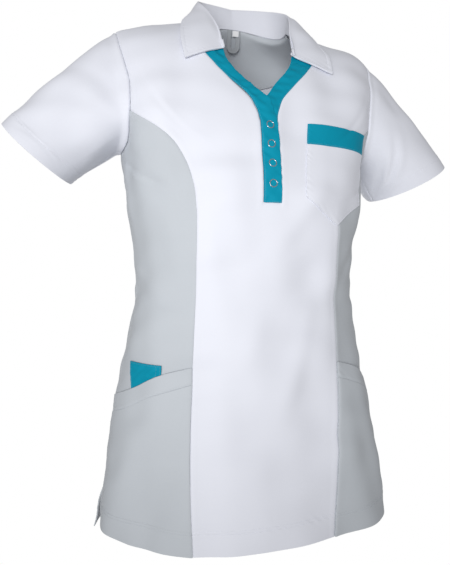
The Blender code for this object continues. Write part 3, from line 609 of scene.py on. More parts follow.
def beside(points, out, edge, distance):
    """The line on a piece at a distance from one of its edges, and the direction out of the cloth there."""
    if edge in ("left", "right"):
        points, out = points.swapaxes(0, 1), out.swapaxes(0, 1)
    if edge in ("top", "right"):
        points, out = points[::-1], out[::-1]
    line, away = [], []
    for column in range(points.shape[1]):
        run = run_of(points[:, column])
        line.append(read_along(points[:, column], run, distance))
        away.append(read_along(out[:, column], run, distance))
    return np.array(line), unit(np.array(away))


def hem_stitches(points, out):
    """The two rows along a piece's hem."""
    return [beside(points, out, "bottom", row) for row in HEM_ROWS]


def edge_stitches(points, out, edges, distance):
    """One row along each of the edges."""
    return [beside(points, out, edge, distance) for edge in edges]


def stitch(name, lines, stuff):
    """Rows of stitches along lines of points, each with the direction out of the cloth, as one mesh."""
    turn = np.arange(STITCH_SIDES) * 2 * pi / STITCH_SIDES
    rings, faces = [], []
    for line, away in lines:
        run = run_of(line)
        start = np.arange(STITCH_GAP, run[-1] - STITCH_LENGTH, STITCH_LENGTH + STITCH_GAP)
        at = start[:, None] + STITCH_LENGTH * STITCH_STATIONS
        centre = read_along(line, run, at)
        up = unit(read_along(away, run, at))
        side = unit(np.cross(centre[:, -1:] - centre[:, :1], up))
        radius = THREAD_RADIUS * STITCH_WIDTHS[:, None]
        centre = centre + up * (radius - 0.6 * THREAD_RADIUS)
        ring = centre[:, :, None] + radius[..., None] * (
            side[:, :, None] * np.cos(turn)[:, None] + up[:, :, None] * np.sin(turn)[:, None])
        rings.append(ring.reshape(-1, 3))
    points = np.concatenate(rings)
    one = len(STITCH_STATIONS) * STITCH_SIDES
    here = np.arange(one).reshape(-1, STITCH_SIDES)
    beyond = np.roll(here, -1, 1)
    around = np.stack([here[:-1], here[1:], beyond[1:], beyond[:-1]], -1).reshape(-1, 4)
    for first in range(0, len(points), one):
        faces += (around + first).tolist()
        faces += [(here[0] + first).tolist(), (here[-1][::-1] + first).tolist()]
    mesh = bpy.data.meshes.new(name)
    mesh.from_pydata(points.tolist(), [], faces)
    mesh.shade_smooth()
    placed(name, mesh, stuff.thread)


FRONT_ROWS = fine_rows(HEM_TO_BUST + BUST_TO_ARMHOLE + FRONT_ARMHOLE)
PANEL_COLUMNS = close_ends(0, 1, 30)
PLACKET_COLUMNS = np.linspace(-1, 1, 9)
front_inner = joined(FRONT_ROWS, [
    (HEM_TO_BUST, upright(PLACKET_HALF_WIDTH, HEM_Z, PLACKET_BOTTOM_Z)),
    *v_edge(V_OUTER, PLACKET_HALF_WIDTH, V_OUTER_TURN),
    (NECK_ROWS, stretch(collar_seam, V_OUTER_TURN, SHOULDER_SEAM)),
])
front_halves = {}
for side in (-1, 1):
    front_outer = joined(FRONT_ROWS, princess_front(side) + [
        (FRONT_ARMHOLE, stretch(armhole, PRINCESS_FRONT_TURN, SHOULDER_SEAM_TURN))])
    front_halves[side] = half_panel(front_inner, front_outer, FRONT_ROWS) * [side, 1]

placket_strip = front_inner[:, None] * np.stack([PLACKET_COLUMNS, np.ones(9)], -1)
front_places = np.concatenate([front_halves[-1][:, ::-1][:, :-1], placket_strip, front_halves[1][:, 1:]], 1)
above_foot = FRONT_ROWS > HEM_TO_BUST - 1e-6
front_seams = [cloth_line(front_places[:, 0]), cloth_line(front_places[:, -1])]
front_seams.append(cloth_line(placket_strip[above_foot][:1]))
for side in (-1, 1):
    front_seams.append(cloth_line(front_inner[above_foot] * [side, 1]))
    front_seams.append(cloth_line(front_halves[side][-1]))
front, front_out = raised(front_places, front_seams, cloth_line(front_places[0]))
first_cut = len(PANEL_COLUMNS) - 1
keep = np.ones((len(FRONT_ROWS) - 1, front.shape[1] - 1), bool)
keep[above_foot[:-1], first_cut:first_cut + 8] = False
sew("front_centre", front, front_out, WHITE, keep=keep)
stitch("front_hem_stitches", hem_stitches(front, front_out), WHITE)


# White centre back
# The back panel and its shoulder strips, cut in one piece that turns over the shoulders to a seam in front of
# them. Its hem is turned up and stitched like the front's.

PRINCESS_BACK = [
    (54, HEM_Z), (53, -0.600), (52, -0.490), (52, -0.380), (50, BUST_Z),
    (46, -0.235), (38, -0.195), (30, -0.172),
]
PRINCESS_BACK_TURN = radians(248.0)
BACK_ARMHOLE = 8
SHOULDER_WRAP = 2
BACK_NECK = 8
BACK_LAST = HEM_TO_BUST + BUST_TO_ARMHOLE + BACK_ARMHOLE + SHOULDER_WRAP
BACK_TO_NECK = BACK_LAST - BACK_NECK


def princess_back():
    keys = [(pi / 2 + radians(turn), tape(z)) for turn, z in PRINCESS_BACK] + [armhole(PRINCESS_BACK_TURN)]
    return [(HEM_TO_BUST, even_line(keys[:5])), (BUST_TO_ARMHOLE, even_line(keys[4:]))]


def centre_back(down):
    return np.stack([np.full(np.shape(down), pi), down], -1)


back_rows = fine_rows(BACK_LAST)
back_outer = joined(back_rows, princess_back() + [
    (BACK_ARMHOLE, stretch(armhole, PRINCESS_BACK_TURN, 2 * pi)),
    (SHOULDER_WRAP, stretch(armhole, 2 * pi, 2 * pi + SHOULDER_SEAM_TURN))])
back_inner = joined(back_rows, [
    (HEM_TO_BUST, stretch(centre_back, tape(HEM_Z), tape(BUST_Z))),
    (BACK_TO_NECK - HEM_TO_BUST, stretch(centre_back, tape(BUST_Z), 0.0)),
    (BACK_NECK, stretch(collar_seam, pi, SHOULDER_SEAM))])
back_half = half_panel(back_inner, back_outer, back_rows)
other_half = 2 * np.array([pi, 0]) - back_half * [1, -1]
back_places = np.concatenate([back_half[:, ::-1], other_half[:, 1:]], 1)
at_neck = back_rows > BACK_TO_NECK - 1e-6
back_seams = [cloth_line(back_places[:, 0]), cloth_line(back_places[:, -1])]
back_seams += [cloth_line(back_half[-1]), cloth_line(other_half[-1])]
back_seams += [cloth_line(back_half[at_neck, 0]), cloth_line(other_half[at_neck, 0])]
back, back_out = raised(back_places, back_seams, cloth_line(back_places[0]))
centre = len(PANEL_COLUMNS) - 1
right_of_neck = back_places[:, centre:].copy()
right_of_neck[:, 0] = other_half[:, 0]
back_right, back_right_out = raised(right_of_neck, back_seams, cloth_line(back_places[0]))
back = np.concatenate([back[:, :centre + 1], back_right], 1)
back_out = np.concatenate([back_out[:, :centre + 1], back_right_out], 1)
keep = np.ones((len(back_rows) - 1, back.shape[1] - 1), bool)
keep[:, centre] = False
sew("back_centre", back, back_out, WHITE, keep=keep)
stitch("back_hem_stitches", hem_stitches(back, back_out), WHITE)


# Grey side fronts and side backs
# Four curved panels of light grey cloth that shape the waist, from the hem up to the underarm. Each pair is
# sewn together down the side seam and left open below as a slit, whose edges are turned in and stitched.

SLIT_TOP_Z = -0.625
FRONT_SIDE_HEM_Z = {-1: -0.690, 1: -0.699}
BACK_SIDE_HEM_Z = -0.701
SLIT_FRONT_SPREAD = radians(4.0)
SLIT_BACK_SPREAD = radians(1.5)
SLIT_FRONT_TUCK = {-1: -0.006, 1: 0.001}
SLIT_BACK_FLARE = 0.004
SLIT_HEM = 0.0072
SLIT_ROW = 0.0062
SIDE_LAST = HEM_TO_BUST + BUST_TO_ARMHOLE
SIDE_ROWS = fine_rows(SIDE_LAST)
SLIT_TOP_ROW = 3.2
SUFFIXES = {-1: "right", 1: "left"}

GREY = dyed("grey", (0.540, 0.572, 0.612), (0.485, 0.514, 0.551), 0.74)


def side_seam(away, hem_z):
    """The side seam from the hem up. Below the slit's top it turns away from the other panel."""
    def seam(z):
        opened = np.clip((SLIT_TOP_Z - z) / (SLIT_TOP_Z - HEM_Z), 0, 1)
        return np.stack([pi / 2 + away * opened, tape(z)], -1)
    top_z = TAPE_AT_ZERO - ARMHOLE_BOTTOM
    return [(HEM_TO_BUST, stretch(seam, hem_z, BUST_Z)), (BUST_TO_ARMHOLE, stretch(seam, BUST_Z, top_z))]


def side_places(inner, outer, princess_turn):
    inner, outer = joined(SIDE_ROWS, inner), joined(SIDE_ROWS, outer)
    hem = straight_line(inner[0], outer[0], PANEL_COLUMNS)
    top = armhole(princess_turn + (pi - princess_turn) * PANEL_COLUMNS)
    return four_sided(hem, top, inner, outer, SIDE_ROWS / SIDE_LAST, PANEL_COLUMNS)


def slit_lift(places, most):
    """How far the cloth beside the slit stands out, or in, most of all at its free corner."""
    down = (places[..., 1] - tape(SLIT_TOP_Z)) / (SLIT_TOP_Z - HEM_Z)
    return most * np.clip(down, 0, 1) ** 1.5 * PANEL_COLUMNS ** 2


def raised_side(places, rows, lift):
    """A side panel, or the pocket on it, with its seams, its hem and its turned slit edge."""
    below_slit = rows < SLIT_TOP_ROW
    seams = [cloth_line(places[:, 0]), cloth_line(places[~below_slit, -1])]
    points, out = raised(places, seams, cloth_line(places[0]), lift)
    slit = cloth_line(places[below_slit, -1])
    distance = distance_to([slit], body(places[..., 0], places[..., 1]))
    relief = HEM_RISE * layer(distance, SLIT_HEM, HEM_FALL) + stitch_relief(points, distance, [SLIT_ROW])
    return points + out * relief[..., None], out


def side_stitches(points, out, rows):
    """The rows along a side piece's hem and the edge of its slit."""
    below_slit = rows < SLIT_TOP_ROW
    return hem_stitches(points, out) + [beside(points[below_slit], out[below_slit], "right", SLIT_ROW)]


front_side_grids = {}
for side, suffix in SUFFIXES.items():
    slit_edge = side_seam(-SLIT_FRONT_SPREAD, FRONT_SIDE_HEM_Z[side])
    places = side_places(princess_front(side), slit_edge, PRINCESS_FRONT_TURN) * [side, 1]
    front_side_grids[side] = places
    points, out = raised_side(places, SIDE_ROWS, slit_lift(places, SLIT_FRONT_TUCK[side]))
    sew("front_side_" + suffix, points, out, GREY)

    slit_edge = side_seam(SLIT_BACK_SPREAD, BACK_SIDE_HEM_Z)
    places = side_places(princess_back(), slit_edge, PRINCESS_BACK_TURN) * [side, 1]
    points, out = raised_side(places, SIDE_ROWS, slit_lift(places, SLIT_BACK_FLARE))
    sew("back_side_" + suffix, points, out, GREY)
    stitch("back_side_stitches_" + suffix, side_stitches(points, out, SIDE_ROWS), GREY)


# Short sleeves
# Set-in sleeves of the white cloth, eased into the armholes, with a seam under the arm and a hem turned up
# 2 cm and held by one row of stitches. They stand out from the body as on an arm held a little away.

Cuff = namedtuple("Cuff", "side top foot depth front_drop")
CUFFS = [
    Cuff(-1, (0.325, -0.018, -0.169), (0.244, 0.004, -0.237), 0.056, 0.0135),
    Cuff(1, (0.316, -0.018, -0.185), (0.217, 0.004, -0.242), 0.056, 0.0070),
]
LEAN_ON_TOP = 0.14
LEAN_UNDER_ARM = 0.45
SLEEVE_HEM = 0.0205
SLEEVE_HEM_ROW = 0.0192
SLEEVE_UNEVENNESS = 0.8
ARMHOLE_LIP = 0.0008
ARMHOLE_LIP_AT = 0.0026
ARMHOLE_LIP_WIDTH = 0.0018
SLEEVE_TURNS = close_ends(pi, 3 * pi, 130)
SLEEVE_ROWS = np.concatenate([SEAM_CLOSE * 0.55, np.linspace(0.06, 0.84, 62), np.linspace(0.853, 1, 26)])
# Creases of a sleeve, in degrees round from its top forwards and the share of the way to the cuff
SLEEVE_CREASES = {
    -1: [Fold(*numbers) for numbers in (
        (62, 0.26, 0.16, 13, -26, -0.0016), (86, 0.28, 0.16, 12, -24, 0.0014),
        (112, 0.45, 0.26, 14, -14, -0.0011), (72, 0.62, 0.2, 15, -12, 0.0014),
        (148, 0.5, 0.3, 13, 10, 0.0013), (-70, 0.4, 0.24, 11, -26, -0.0016),
        (-110, 0.5, 0.25, 10, -26, 0.0014), (20, 0.7, 0.3, 12, 10, -0.0008),
    )],
    1: [Fold(*numbers) for numbers in (
        (60, 0.3, 0.2, 14, 16, -0.0009), (40, 0.45, 0.25, 14, 12, 0.0008), (112, 0.66, 0.2, 10, 26, 0.0013),
        (126, 0.62, 0.2, 8, 26, -0.0016), (142, 0.68, 0.22, 8, 22, 0.0015),
        (156, 0.66, 0.22, 8, 18, -0.0014), (-70, 0.4, 0.24, 11, -26, -0.0016),
        (-110, 0.5, 0.25, 10, -26, 0.0014),
    )],
}


def sleeve_surface(cuff, turn, along):
    """The sleeve's outer face: along runs from the armhole, 0, to the cuff's edge, 1."""
    around, down = armhole(turn).T
    arm = body(around * cuff.side, down) * [cuff.side, 1, 1]
    top, foot = np.array(cuff.top), np.array(cuff.foot)
    centre, half = (top + foot) / 2, (top - foot) / 2
    turn = turn[:, None]
    axis = unit(np.cross(half, [0, -1.0, 0]))
    axis = axis * np.sign(axis[0])
    forward = axis * cuff.front_drop - np.array([0, cuff.depth, 0])
    edge = centre + half * np.cos(turn) + forward * np.sin(turn)
    length = np.linalg.norm(edge - arm, axis=-1, keepdims=True)
    straight = unit(edge - arm)
    lean = LEAN_ON_TOP + (LEAN_UNDER_ARM - LEAN_ON_TOP) * (1 - np.cos(turn)) / 2
    start = straight * (1 - lean) + np.array([1.0, 0, 0]) * lean
    first, second = arm + start * length / 3, edge - (axis + straight) / 2 * length / 3
    u = along[:, None, None]
    curve = (1 - u) ** 3 * arm + 3 * u * (1 - u) ** 2 * first + 3 * u * u * (1 - u) * second + u ** 3 * edge
    return curve * [cuff.side, 1, 1]


def grid_out(points, sign):
    """The unit direction out of a grid of points."""
    return unit(np.cross(np.gradient(points, axis=1), np.gradient(points, axis=0)) * sign)


for cuff in CUFFS:
    plain = sleeve_surface(cuff, SLEEVE_TURNS, SLEEVE_ROWS)
    out = grid_out(plain, cuff.side)
    creases = fold_height(SLEEVE_CREASES[cuff.side], SLEEVE_TURNS[None], SLEEVE_ROWS[:, None])
    ends = smooth_step(SLEEVE_ROWS / 0.12) * smooth_step((1.04 - SLEEVE_ROWS) / 0.2)
    height = (creases + SLEEVE_UNEVENNESS * unevenness(plain)) * ends[:, None]
    height += seam_relief(plain, [plain[0], plain[:, 0]])
    from_armhole = distance_to([plain[0]], plain)
    height += ARMHOLE_LIP * np.exp(-((from_armhole - ARMHOLE_LIP_AT) / ARMHOLE_LIP_WIDTH) ** 2)
    height += hem_relief(plain, plain[-1], SLEEVE_HEM, [SLEEVE_HEM_ROW])
    points = plain + out * height[..., None]
    suffix = SUFFIXES[cuff.side]
    sew("sleeve_" + suffix, points, out, WHITE)
    stitch("sleeve_stitches_" + suffix, [beside(points, out, "top", SLEEVE_HEM_ROW)], WHITE)


# Polo collar
# A turned-down collar of two layers with a firm interlining, cut with its own stand. It rolls over at the
# back of the neck, spreads open in front, and is topstitched 5 mm from its edges.

# The collar's stations: degrees round, then the fold's place and the free edge's
COLLAR = np.array([
    (22.5, 0.0500, -0.0735, -0.0620, 0.1035, -0.0810, -0.0840),
    (38, 0.0510, -0.0560, -0.0300, 0.1060, -0.0680, -0.0570),
    (60, 0.0590, -0.0340, 0.0030, 0.1020, -0.0460, -0.0290),
    (90, 0.0665, -0.0060, 0.0300, 0.0905, -0.0120, -0.0010),
    (110, 0.0628, 0.0171, 0.0444, 0.0793, 0.0203, 0.0040),
    (130, 0.0525, 0.0380, 0.0550, 0.0630, 0.0499, 0.0062),
    (155, 0.0287, 0.0504, 0.0598, 0.0334, 0.0638, 0.0106),
    (180, 0.0000, 0.0580, 0.0610, 0.0000, 0.0703, 0.0121),
])
COLLAR_THICKNESS = 0.0021
COLLAR_SEAM_GAP = 0.0015
COLLAR_TOPSTITCH = 0.0050
COLLAR_EDGE_RISE = 0.00035
COLLAR_EDGE_FALL = 0.0010
COLLAR_UNEVENNESS = 0.7
CORNER_REACH = 0.013
CORNER_ROUNDINGS = 16
ROLL_DEPTH = 0.0080
ROLL_SWELL = (0.0, 0.0015)
LEAF_BOW = 0.0015
# From the neck seam, 0, over the stand's top, 1, the fold, 2, and the leaf, 3 and 4, to its free edge, 5
COLLAR_ROWS = np.concatenate([np.linspace(0, 1, 8)[:-1], np.linspace(1, 3, 25)[:-1], np.linspace(3, 4.7, 26),
                              np.linspace(4.74, 5, 8)])
COLLAR_TURNS = np.concatenate([np.linspace(V_INNER_TURN, SHOULDER_SEAM, 61)[:-1],
                               np.linspace(SHOULDER_SEAM, pi, 61)])


def square_to(vectors, axis):
    """The vectors' part at right angles to an axis, at unit length."""
    return unit(vectors - axis * (vectors * axis).sum(-1, keepdims=True))


keys = through(COLLAR[:, 0], COLLAR[:, 1:], np.degrees(COLLAR_TURNS))
fold, edge = keys[:, :3], keys[:, 3:]
around, down = collar_seam(COLLAR_TURNS).T
neck = plain_body(around, down)
up_stand, up_leaf = unit(fold - neck), unit(fold - edge)
outward = square_to(up_stand - up_leaf, unit(up_stand + up_leaf))
depth = np.minimum(ROLL_DEPTH, 0.5 * np.linalg.norm(fold - neck, axis=-1, keepdims=True))
swell = np.interp(COLLAR_TURNS, [V_INNER_TURN, pi / 2], ROLL_SWELL)[:, None]
stand = fold - up_stand * depth - outward * swell
leaf = fold - up_leaf * depth + outward * swell
inward = unit(np.cross(fold - neck, np.gradient(neck, axis=0)))
upward = unit(plain_body(around, down - 1e-3) - neck)
clear = np.interp(COLLAR_TURNS, [V_INNER_TURN, V_OUTER_TURN], [COLLAR_SEAM_GAP, 0])[:, None]
seam = neck + upward * COLLAR_SEAM_GAP + inward * CLOTH + crossed(plain_body, around, down) * clear
middle = (leaf + edge) / 2 + outward * LEAF_BOW
half = through(np.arange(6), np.stack([seam, stand, fold, leaf, middle, edge]), COLLAR_ROWS)
plain = np.concatenate([half, (half * [-1, 1, 1])[:, ::-1][:, 1:]], 1)
out = grid_out(plain, -1)
on_leaf = COLLAR_ROWS > 3
distance = distance_to([plain[-1], plain[on_leaf, 0], plain[on_leaf, -1]], plain)
turned = COLLAR_EDGE_RISE * layer(distance, COLLAR_TOPSTITCH, COLLAR_EDGE_FALL)
leaf_share = smooth_step((COLLAR_ROWS - 2.5) / 0.8)[:, None]
relief = (turned + stitch_relief(plain, distance, [COLLAR_TOPSTITCH])) * leaf_share
relief += COLLAR_UNEVENNESS * unevenness(plain) * leaf_share
points = plain + out * relief[..., None]
collar = sew("collar", points, out, WHITE, thickness=COLLAR_THICKNESS)
corners = points[np.abs(COLLAR_ROWS - 2).argmin(), [0, -1]]
group = collar.vertex_groups.new(name="corners")
for vertex in collar.data.vertices:
    reach = np.linalg.norm(corners - np.array(vertex.co), axis=1).min() / CORNER_REACH
    if reach < 1:
        group.add([vertex.index], 1 - reach, "REPLACE")
soften = collar.modifiers.new("soften", "SMOOTH")
soften.vertex_group, soften.factor, soften.iterations = "corners", 0.6, CORNER_ROUNDINGS
apply_modifiers(collar)
leaf_points, leaf_out = points[on_leaf], out[on_leaf]
topstitch = []
for at in ("top", "left", "right"):
    line, away = beside(leaf_points, leaf_out, at, COLLAR_TOPSTITCH)
    others = {"top": [plain[on_leaf, 0], plain[on_leaf, -1]], "left": [plain[-1]], "right": [plain[-1]]}[at]
    inside = distance_to(others, line) > COLLAR_TOPSTITCH - 0.0003
    topstitch.append((line[inside], away[inside]))
stitch("collar_topstitch", topstitch, WHITE)


# Teal neck bands and placket
# Two folded bands of teal cloth edge the V neck and run on down as the short placket, the wearer's right over
# the left. The seam to the white front is edge-stitched, and the folded inner edges are left soft.

V_INNER = {
    -1: [(-0.006, -0.147), (0.0015, -0.130), (0.021, -0.108), (0.042, -0.085)],
    1: [(-0.006, -0.147), (0.0005, -0.130), (0.0170, -0.108), (0.037, -0.085)],
}
BAND_FOLD_X = -0.0115
BAND_OVERLAP_LIFT = 0.0021
BAND_RISE_FROM = 0.118
BAND_RISE_TO = 0.148
BAND_EDGE_ROW = 0.0016
BAND_EDGE_DIP = 0.0004
BAND_LAST = PLACKET_ROWS + V_ROWS
BAND_ROWS = np.linspace(0, BAND_LAST, BAND_LAST * 12 + 1)
BAND_COLUMNS = np.linspace(0, 1, 29)

TEAL = dyed("teal", (0.001, 0.300, 0.440), (0.001, 0.222, 0.332), 0.70, sheen=0.0, gloss=0.12)

band_outer = joined(BAND_ROWS, v_edge(V_OUTER, PLACKET_HALF_WIDTH, V_OUTER_TURN))
top = collar_seam(V_INNER_TURN + (V_OUTER_TURN - V_INNER_TURN) * BAND_COLUMNS)
for side, suffix in SUFFIXES.items():
    band_inner = joined(BAND_ROWS, v_edge(V_INNER[side], BAND_FOLD_X, V_INNER_TURN))
    foot = straight_line(band_inner[0], band_outer[0], BAND_COLUMNS)
    rows = BAND_ROWS / BAND_LAST
    places = four_sided(foot, top, band_inner, band_outer, rows, BAND_COLUMNS) * [side, 1]
    rise = smooth_step((places[..., 1] - BAND_RISE_FROM) / (BAND_RISE_TO - BAND_RISE_FROM))
    points, out = raised(places, lift=BAND_OVERLAP_LIFT * rise if side < 0 else 0.0)
    distance = distance_to([points[:, -1], points[0]], points)
    relief = groove(distance, BAND_EDGE_DIP) + stitch_relief(points, distance, [BAND_EDGE_ROW])
    relief += crumple(points, distance)
    points = points + out * relief[..., None]
    sew("neck_band_" + suffix, points, out, TEAL, thickness=TRIM)
    lines = edge_stitches(points, out, ("right", "bottom"), BAND_EDGE_ROW)
    stitch("neck_band_stitches_" + suffix, lines, TEAL)


# Ring snaps
# Four open-ring press studs of bright nickel-plated brass down the placket. Each ring is stamped with a
# rounded rim, and its prongs grip through the cloth, so that the teal shows inside it.

SNAPS = 4
SNAP_TOP_Z = -0.1725
SNAP_SPACING = 0.0253
SNAP_RADIUS = 0.00535
SNAP_RIM = 0.0012
SNAP_HEIGHT = 0.0012
SNAP_SUNK = 0.0002


def metal_finish(name, colour):
    """Bright plating with a fine polish grain and duller patches where it has been handled."""
    material, shader, wire = new_material(name)
    handled, grain = wire.noise(260.0, 4.0), wire.noise(3200.0)
    dull = tuple(c * 0.82 for c in colour)
    cover(shader, wire, two_tones(wire, handled, colour, dull), handled * 0.18 + 0.14, 0.15, 3e-5, grain)
    shader.inputs["Metallic"].default_value = 1.0
    return material


SNAP_METAL = metal_finish("snap_metal", (0.66, 0.67, 0.69))

bpy.ops.mesh.primitive_cylinder_add(vertices=48, radius=SNAP_RADIUS, depth=SNAP_HEIGHT, end_fill_type="NGON")
ring = bpy.context.object
for face in ring.data.polygons:
    face.select = abs(face.normal.z) > 0.9
bpy.context.tool_settings.mesh_select_mode = (False, False, True)
bpy.ops.object.mode_set(mode="EDIT")
bpy.ops.mesh.inset(thickness=SNAP_RIM)
bpy.ops.mesh.bridge_edge_loops()
bpy.ops.mesh.select_all(action="SELECT")
bpy.ops.mesh.normals_make_consistent(inside=False)
bpy.ops.object.mode_set(mode="OBJECT")
round_edges(ring, 60, SNAP_HEIGHT * 0.42, 4)
apply_modifiers(ring)
ring.data.shade_smooth()
for number in range(SNAPS):
    around, down = front_place(0.0, SNAP_TOP_Z - SNAP_SPACING * number)
    away = body_out(around, down)
    at = body(around, down) + away * (BAND_OVERLAP_LIFT + SNAP_HEIGHT / 2 - SNAP_SUNK)
    snap = placed(f"ring_snap_{number + 1}", ring.data.copy(), SNAP_METAL)
    about_z, about_x = np.arctan2(away[0], -away[1]), np.arccos(away[2])
    turn = Matrix.Rotation(about_z, 4, "Z") @ Matrix.Rotation(about_x, 4, "X")
    snap.data.transform(Matrix.Translation(at) @ turn)
    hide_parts(f"snap_{number + 1}")
bpy.data.objects.remove(ring)


# Chest pocket
# A white patch pocket with a pointed foot on the wearer's left, edge-stitched down both sides, and headed by
# a band of the teal cloth. Its mouth stands a little off the front.

PATCH_LIFT = 0.0006
CHEST_TOP_XS = np.array([[0.0555], [0.1560]])
CHEST_BAND_XS = np.array([[0.0530], [0.1530]])
CHEST_TOP_Z = -0.1640
CHEST_BAND_Z = -0.1915
CHEST_CORNER_Z = -0.2630
CHEST_TIP_Z = -0.2960
CHEST_FOOT_SHIFT = -0.009
PATCH_ROW = 0.0017
CHEST_FULLNESS = 0.0012
CHEST_BAND_FULLNESS = 0.00144
CHEST_SWELLS_OVER = 0.03
ON_PANEL = PATCH_LIFT + TRIM
PATCH_COLUMNS = np.linspace(0, 1, 65)

band_x, top_x = (straight_line(*ends, PATCH_COLUMNS)[:, 0] for ends in (CHEST_BAND_XS, CHEST_TOP_XS))
point = 1 - np.abs(2 * PATCH_COLUMNS - 1)
foot_x, foot_z = band_x + CHEST_FOOT_SHIFT, CHEST_CORNER_Z + (CHEST_TIP_Z - CHEST_CORNER_Z) * point
chest_parts = [
    ("chest_pocket", WHITE, 64, foot_x, foot_z, band_x, CHEST_BAND_Z),
    ("chest_pocket_band", TEAL, 26, band_x, CHEST_BAND_Z, top_x, CHEST_TOP_Z),
]
for name, stuff, count, low_x, low_z, high_x, high_z in chest_parts:
    u = np.linspace(0, 1, count)[:, None]
    places = front_place(low_x + (high_x - low_x) * u, low_z + (high_z - low_z) * u)
    points, out = raised(places, lift=ON_PANEL)
    sides = [points[:, 0], points[:, -1]]
    distance = distance_to(sides + [points[0]], points)
    relief = stitch_relief(points, distance, [PATCH_ROW])
    if stuff is TEAL:
        relief += CHEST_BAND_FULLNESS * smooth_step(distance_to(sides, points) / CHEST_SWELLS_OVER)
    else:
        relief += CHEST_FULLNESS * smooth_step(distance / CHEST_SWELLS_OVER)
    points = points + out * relief[..., None]
    sew(name, points, out, stuff, thickness=TRIM)
    lines = edge_stitches(points, out, ("left", "bottom", "right"), PATCH_ROW)
    stitch(name.replace("pocket_band", "band") + "_stitches", lines, stuff)


# Side pockets
# A grey patch pocket lies on each side front from the hem to a slanting mouth, caught in both seams. A band
# of the same cloth heads it and stands slightly open.

MOUTH = [(0.0985, -0.478), (0.132, -0.4875), (0.168, -0.508)]
MOUTH_SIDE_Z = -0.523
BAND_SEAM = [(0.0990, -0.4985), (0.145, -0.515), (0.174, -0.533)]
BAND_SEAM_SIDE_Z = -0.546
POCKET_STRAIGHT_ROWS = 6
POCKET_LAST = 8
MOUTH_OPENS = 0.0018
BAND_SEAM_DIP = 0.0006


def pocket_line(points, side_z):
    keys = [front_place(x, z) for x, z in points] + [np.array([pi / 2, tape(side_z)])]
    return even_line(keys)(PANEL_COLUMNS)


panel_rows = SIDE_ROWS[SIDE_ROWS < POCKET_STRAIGHT_ROWS + 1e-6]
share_up = np.linspace(0, 1, 25)[1:]
pocket_rows = np.concatenate([panel_rows, POCKET_STRAIGHT_ROWS + 2 * share_up])
for side, suffix in SUFFIXES.items():
    band_seam = pocket_line(BAND_SEAM, BAND_SEAM_SIDE_Z) * [side, 1]
    mouth = pocket_line(MOUTH, MOUTH_SIDE_Z) * [side, 1]
    panel = front_side_grids[side][:len(panel_rows)]
    places = np.concatenate([panel, panel[-1] + (band_seam - panel[-1]) * share_up[:, None, None]])
    swell = np.sin(pi * PANEL_COLUMNS)
    rise = (pocket_rows[:, None] / POCKET_LAST) ** 4
    lift = ON_PANEL + MOUTH_OPENS * rise * swell + slit_lift(places, SLIT_FRONT_TUCK[side])
    points, out = raised_side(places, pocket_rows, lift)
    sew("side_pocket_" + suffix, points, out, GREY, thickness=TRIM)
    stitch("side_pocket_stitches_" + suffix, side_stitches(points, out, pocket_rows), GREY)

    places = band_seam + (mouth - band_seam) * np.linspace(0, 1, 22)[:, None, None]
    points, out = raised(places, [cloth_line(places[:, 0]), cloth_line(places[:, -1])],
                         lift=ON_PANEL + MOUTH_OPENS * swell)
    distance = distance_to([points[0]], points)
    relief = stitch_relief(points, distance, [PATCH_ROW]) + groove(distance, BAND_SEAM_DIP)
    points = points + out * relief[..., None]
    sew("side_pocket_band_" + suffix, points, out, GREY, thickness=TRIM)
    stitch("side_band_stitches_" + suffix, [beside(points, out, "bottom", PATCH_ROW)], GREY)


# Pen pocket
# A small teal insert that rises from behind the band of the wearer's right side pocket, with one row of
# stitches that parts off the place for a pen.

PEN_POCKET_TOP = [(0.1330, -0.4765), (0.1680, -0.4735)]
PEN_POCKET_FOOT_TURNS = (radians(47), radians(68))
PEN_POCKET_LIFT = 0.0007
PEN_COLUMNS = np.linspace(0, 1, 33)
PEN_PART = 4
SEAM_GAP = 0.0003

mouth = pocket_line(MOUTH, MOUTH_SIDE_Z)
top = straight_line(*(front_place(x, z) for x, z in PEN_POCKET_TOP), PEN_COLUMNS)
around = PEN_POCKET_FOOT_TURNS[0] + (PEN_POCKET_FOOT_TURNS[1] - PEN_POCKET_FOOT_TURNS[0]) * PEN_COLUMNS
foot = np.stack([around, np.interp(around, mouth[:, 0], mouth[:, 1]) - 2 * SEAM_GAP], -1)
places = (foot + (top - foot) * np.linspace(0, 1, 25)[:, None, None]) * [-1, 1]
points, out = raised(places, lift=ON_PANEL + PEN_POCKET_LIFT)
edges = distance_to([points[:, 0], points[-1], points[:, -1]], points)
relief = stitch_relief(points, distance_to([points[:, PEN_PART]], points), [0.0])
relief += stitch_relief(points, edges, [PATCH_ROW])
relief += crumple(points, edges)
points = points + out * relief[..., None]
sew("pen_pocket", points, out, TEAL, thickness=TRIM)
lines = [(points[:, PEN_PART], out[:, PEN_PART])]
lines += edge_stitches(points, out, ("left", "top", "right"), PATCH_ROW)
stitch("pen_pocket_stitches", lines, TEAL)


# Inside of the back neck
# A half-moon facing of the grey cloth backs the neck edge, its lower edge turned and stitched. A loop of grey
# tape for hanging and a small plain white label are caught in the neck seam.

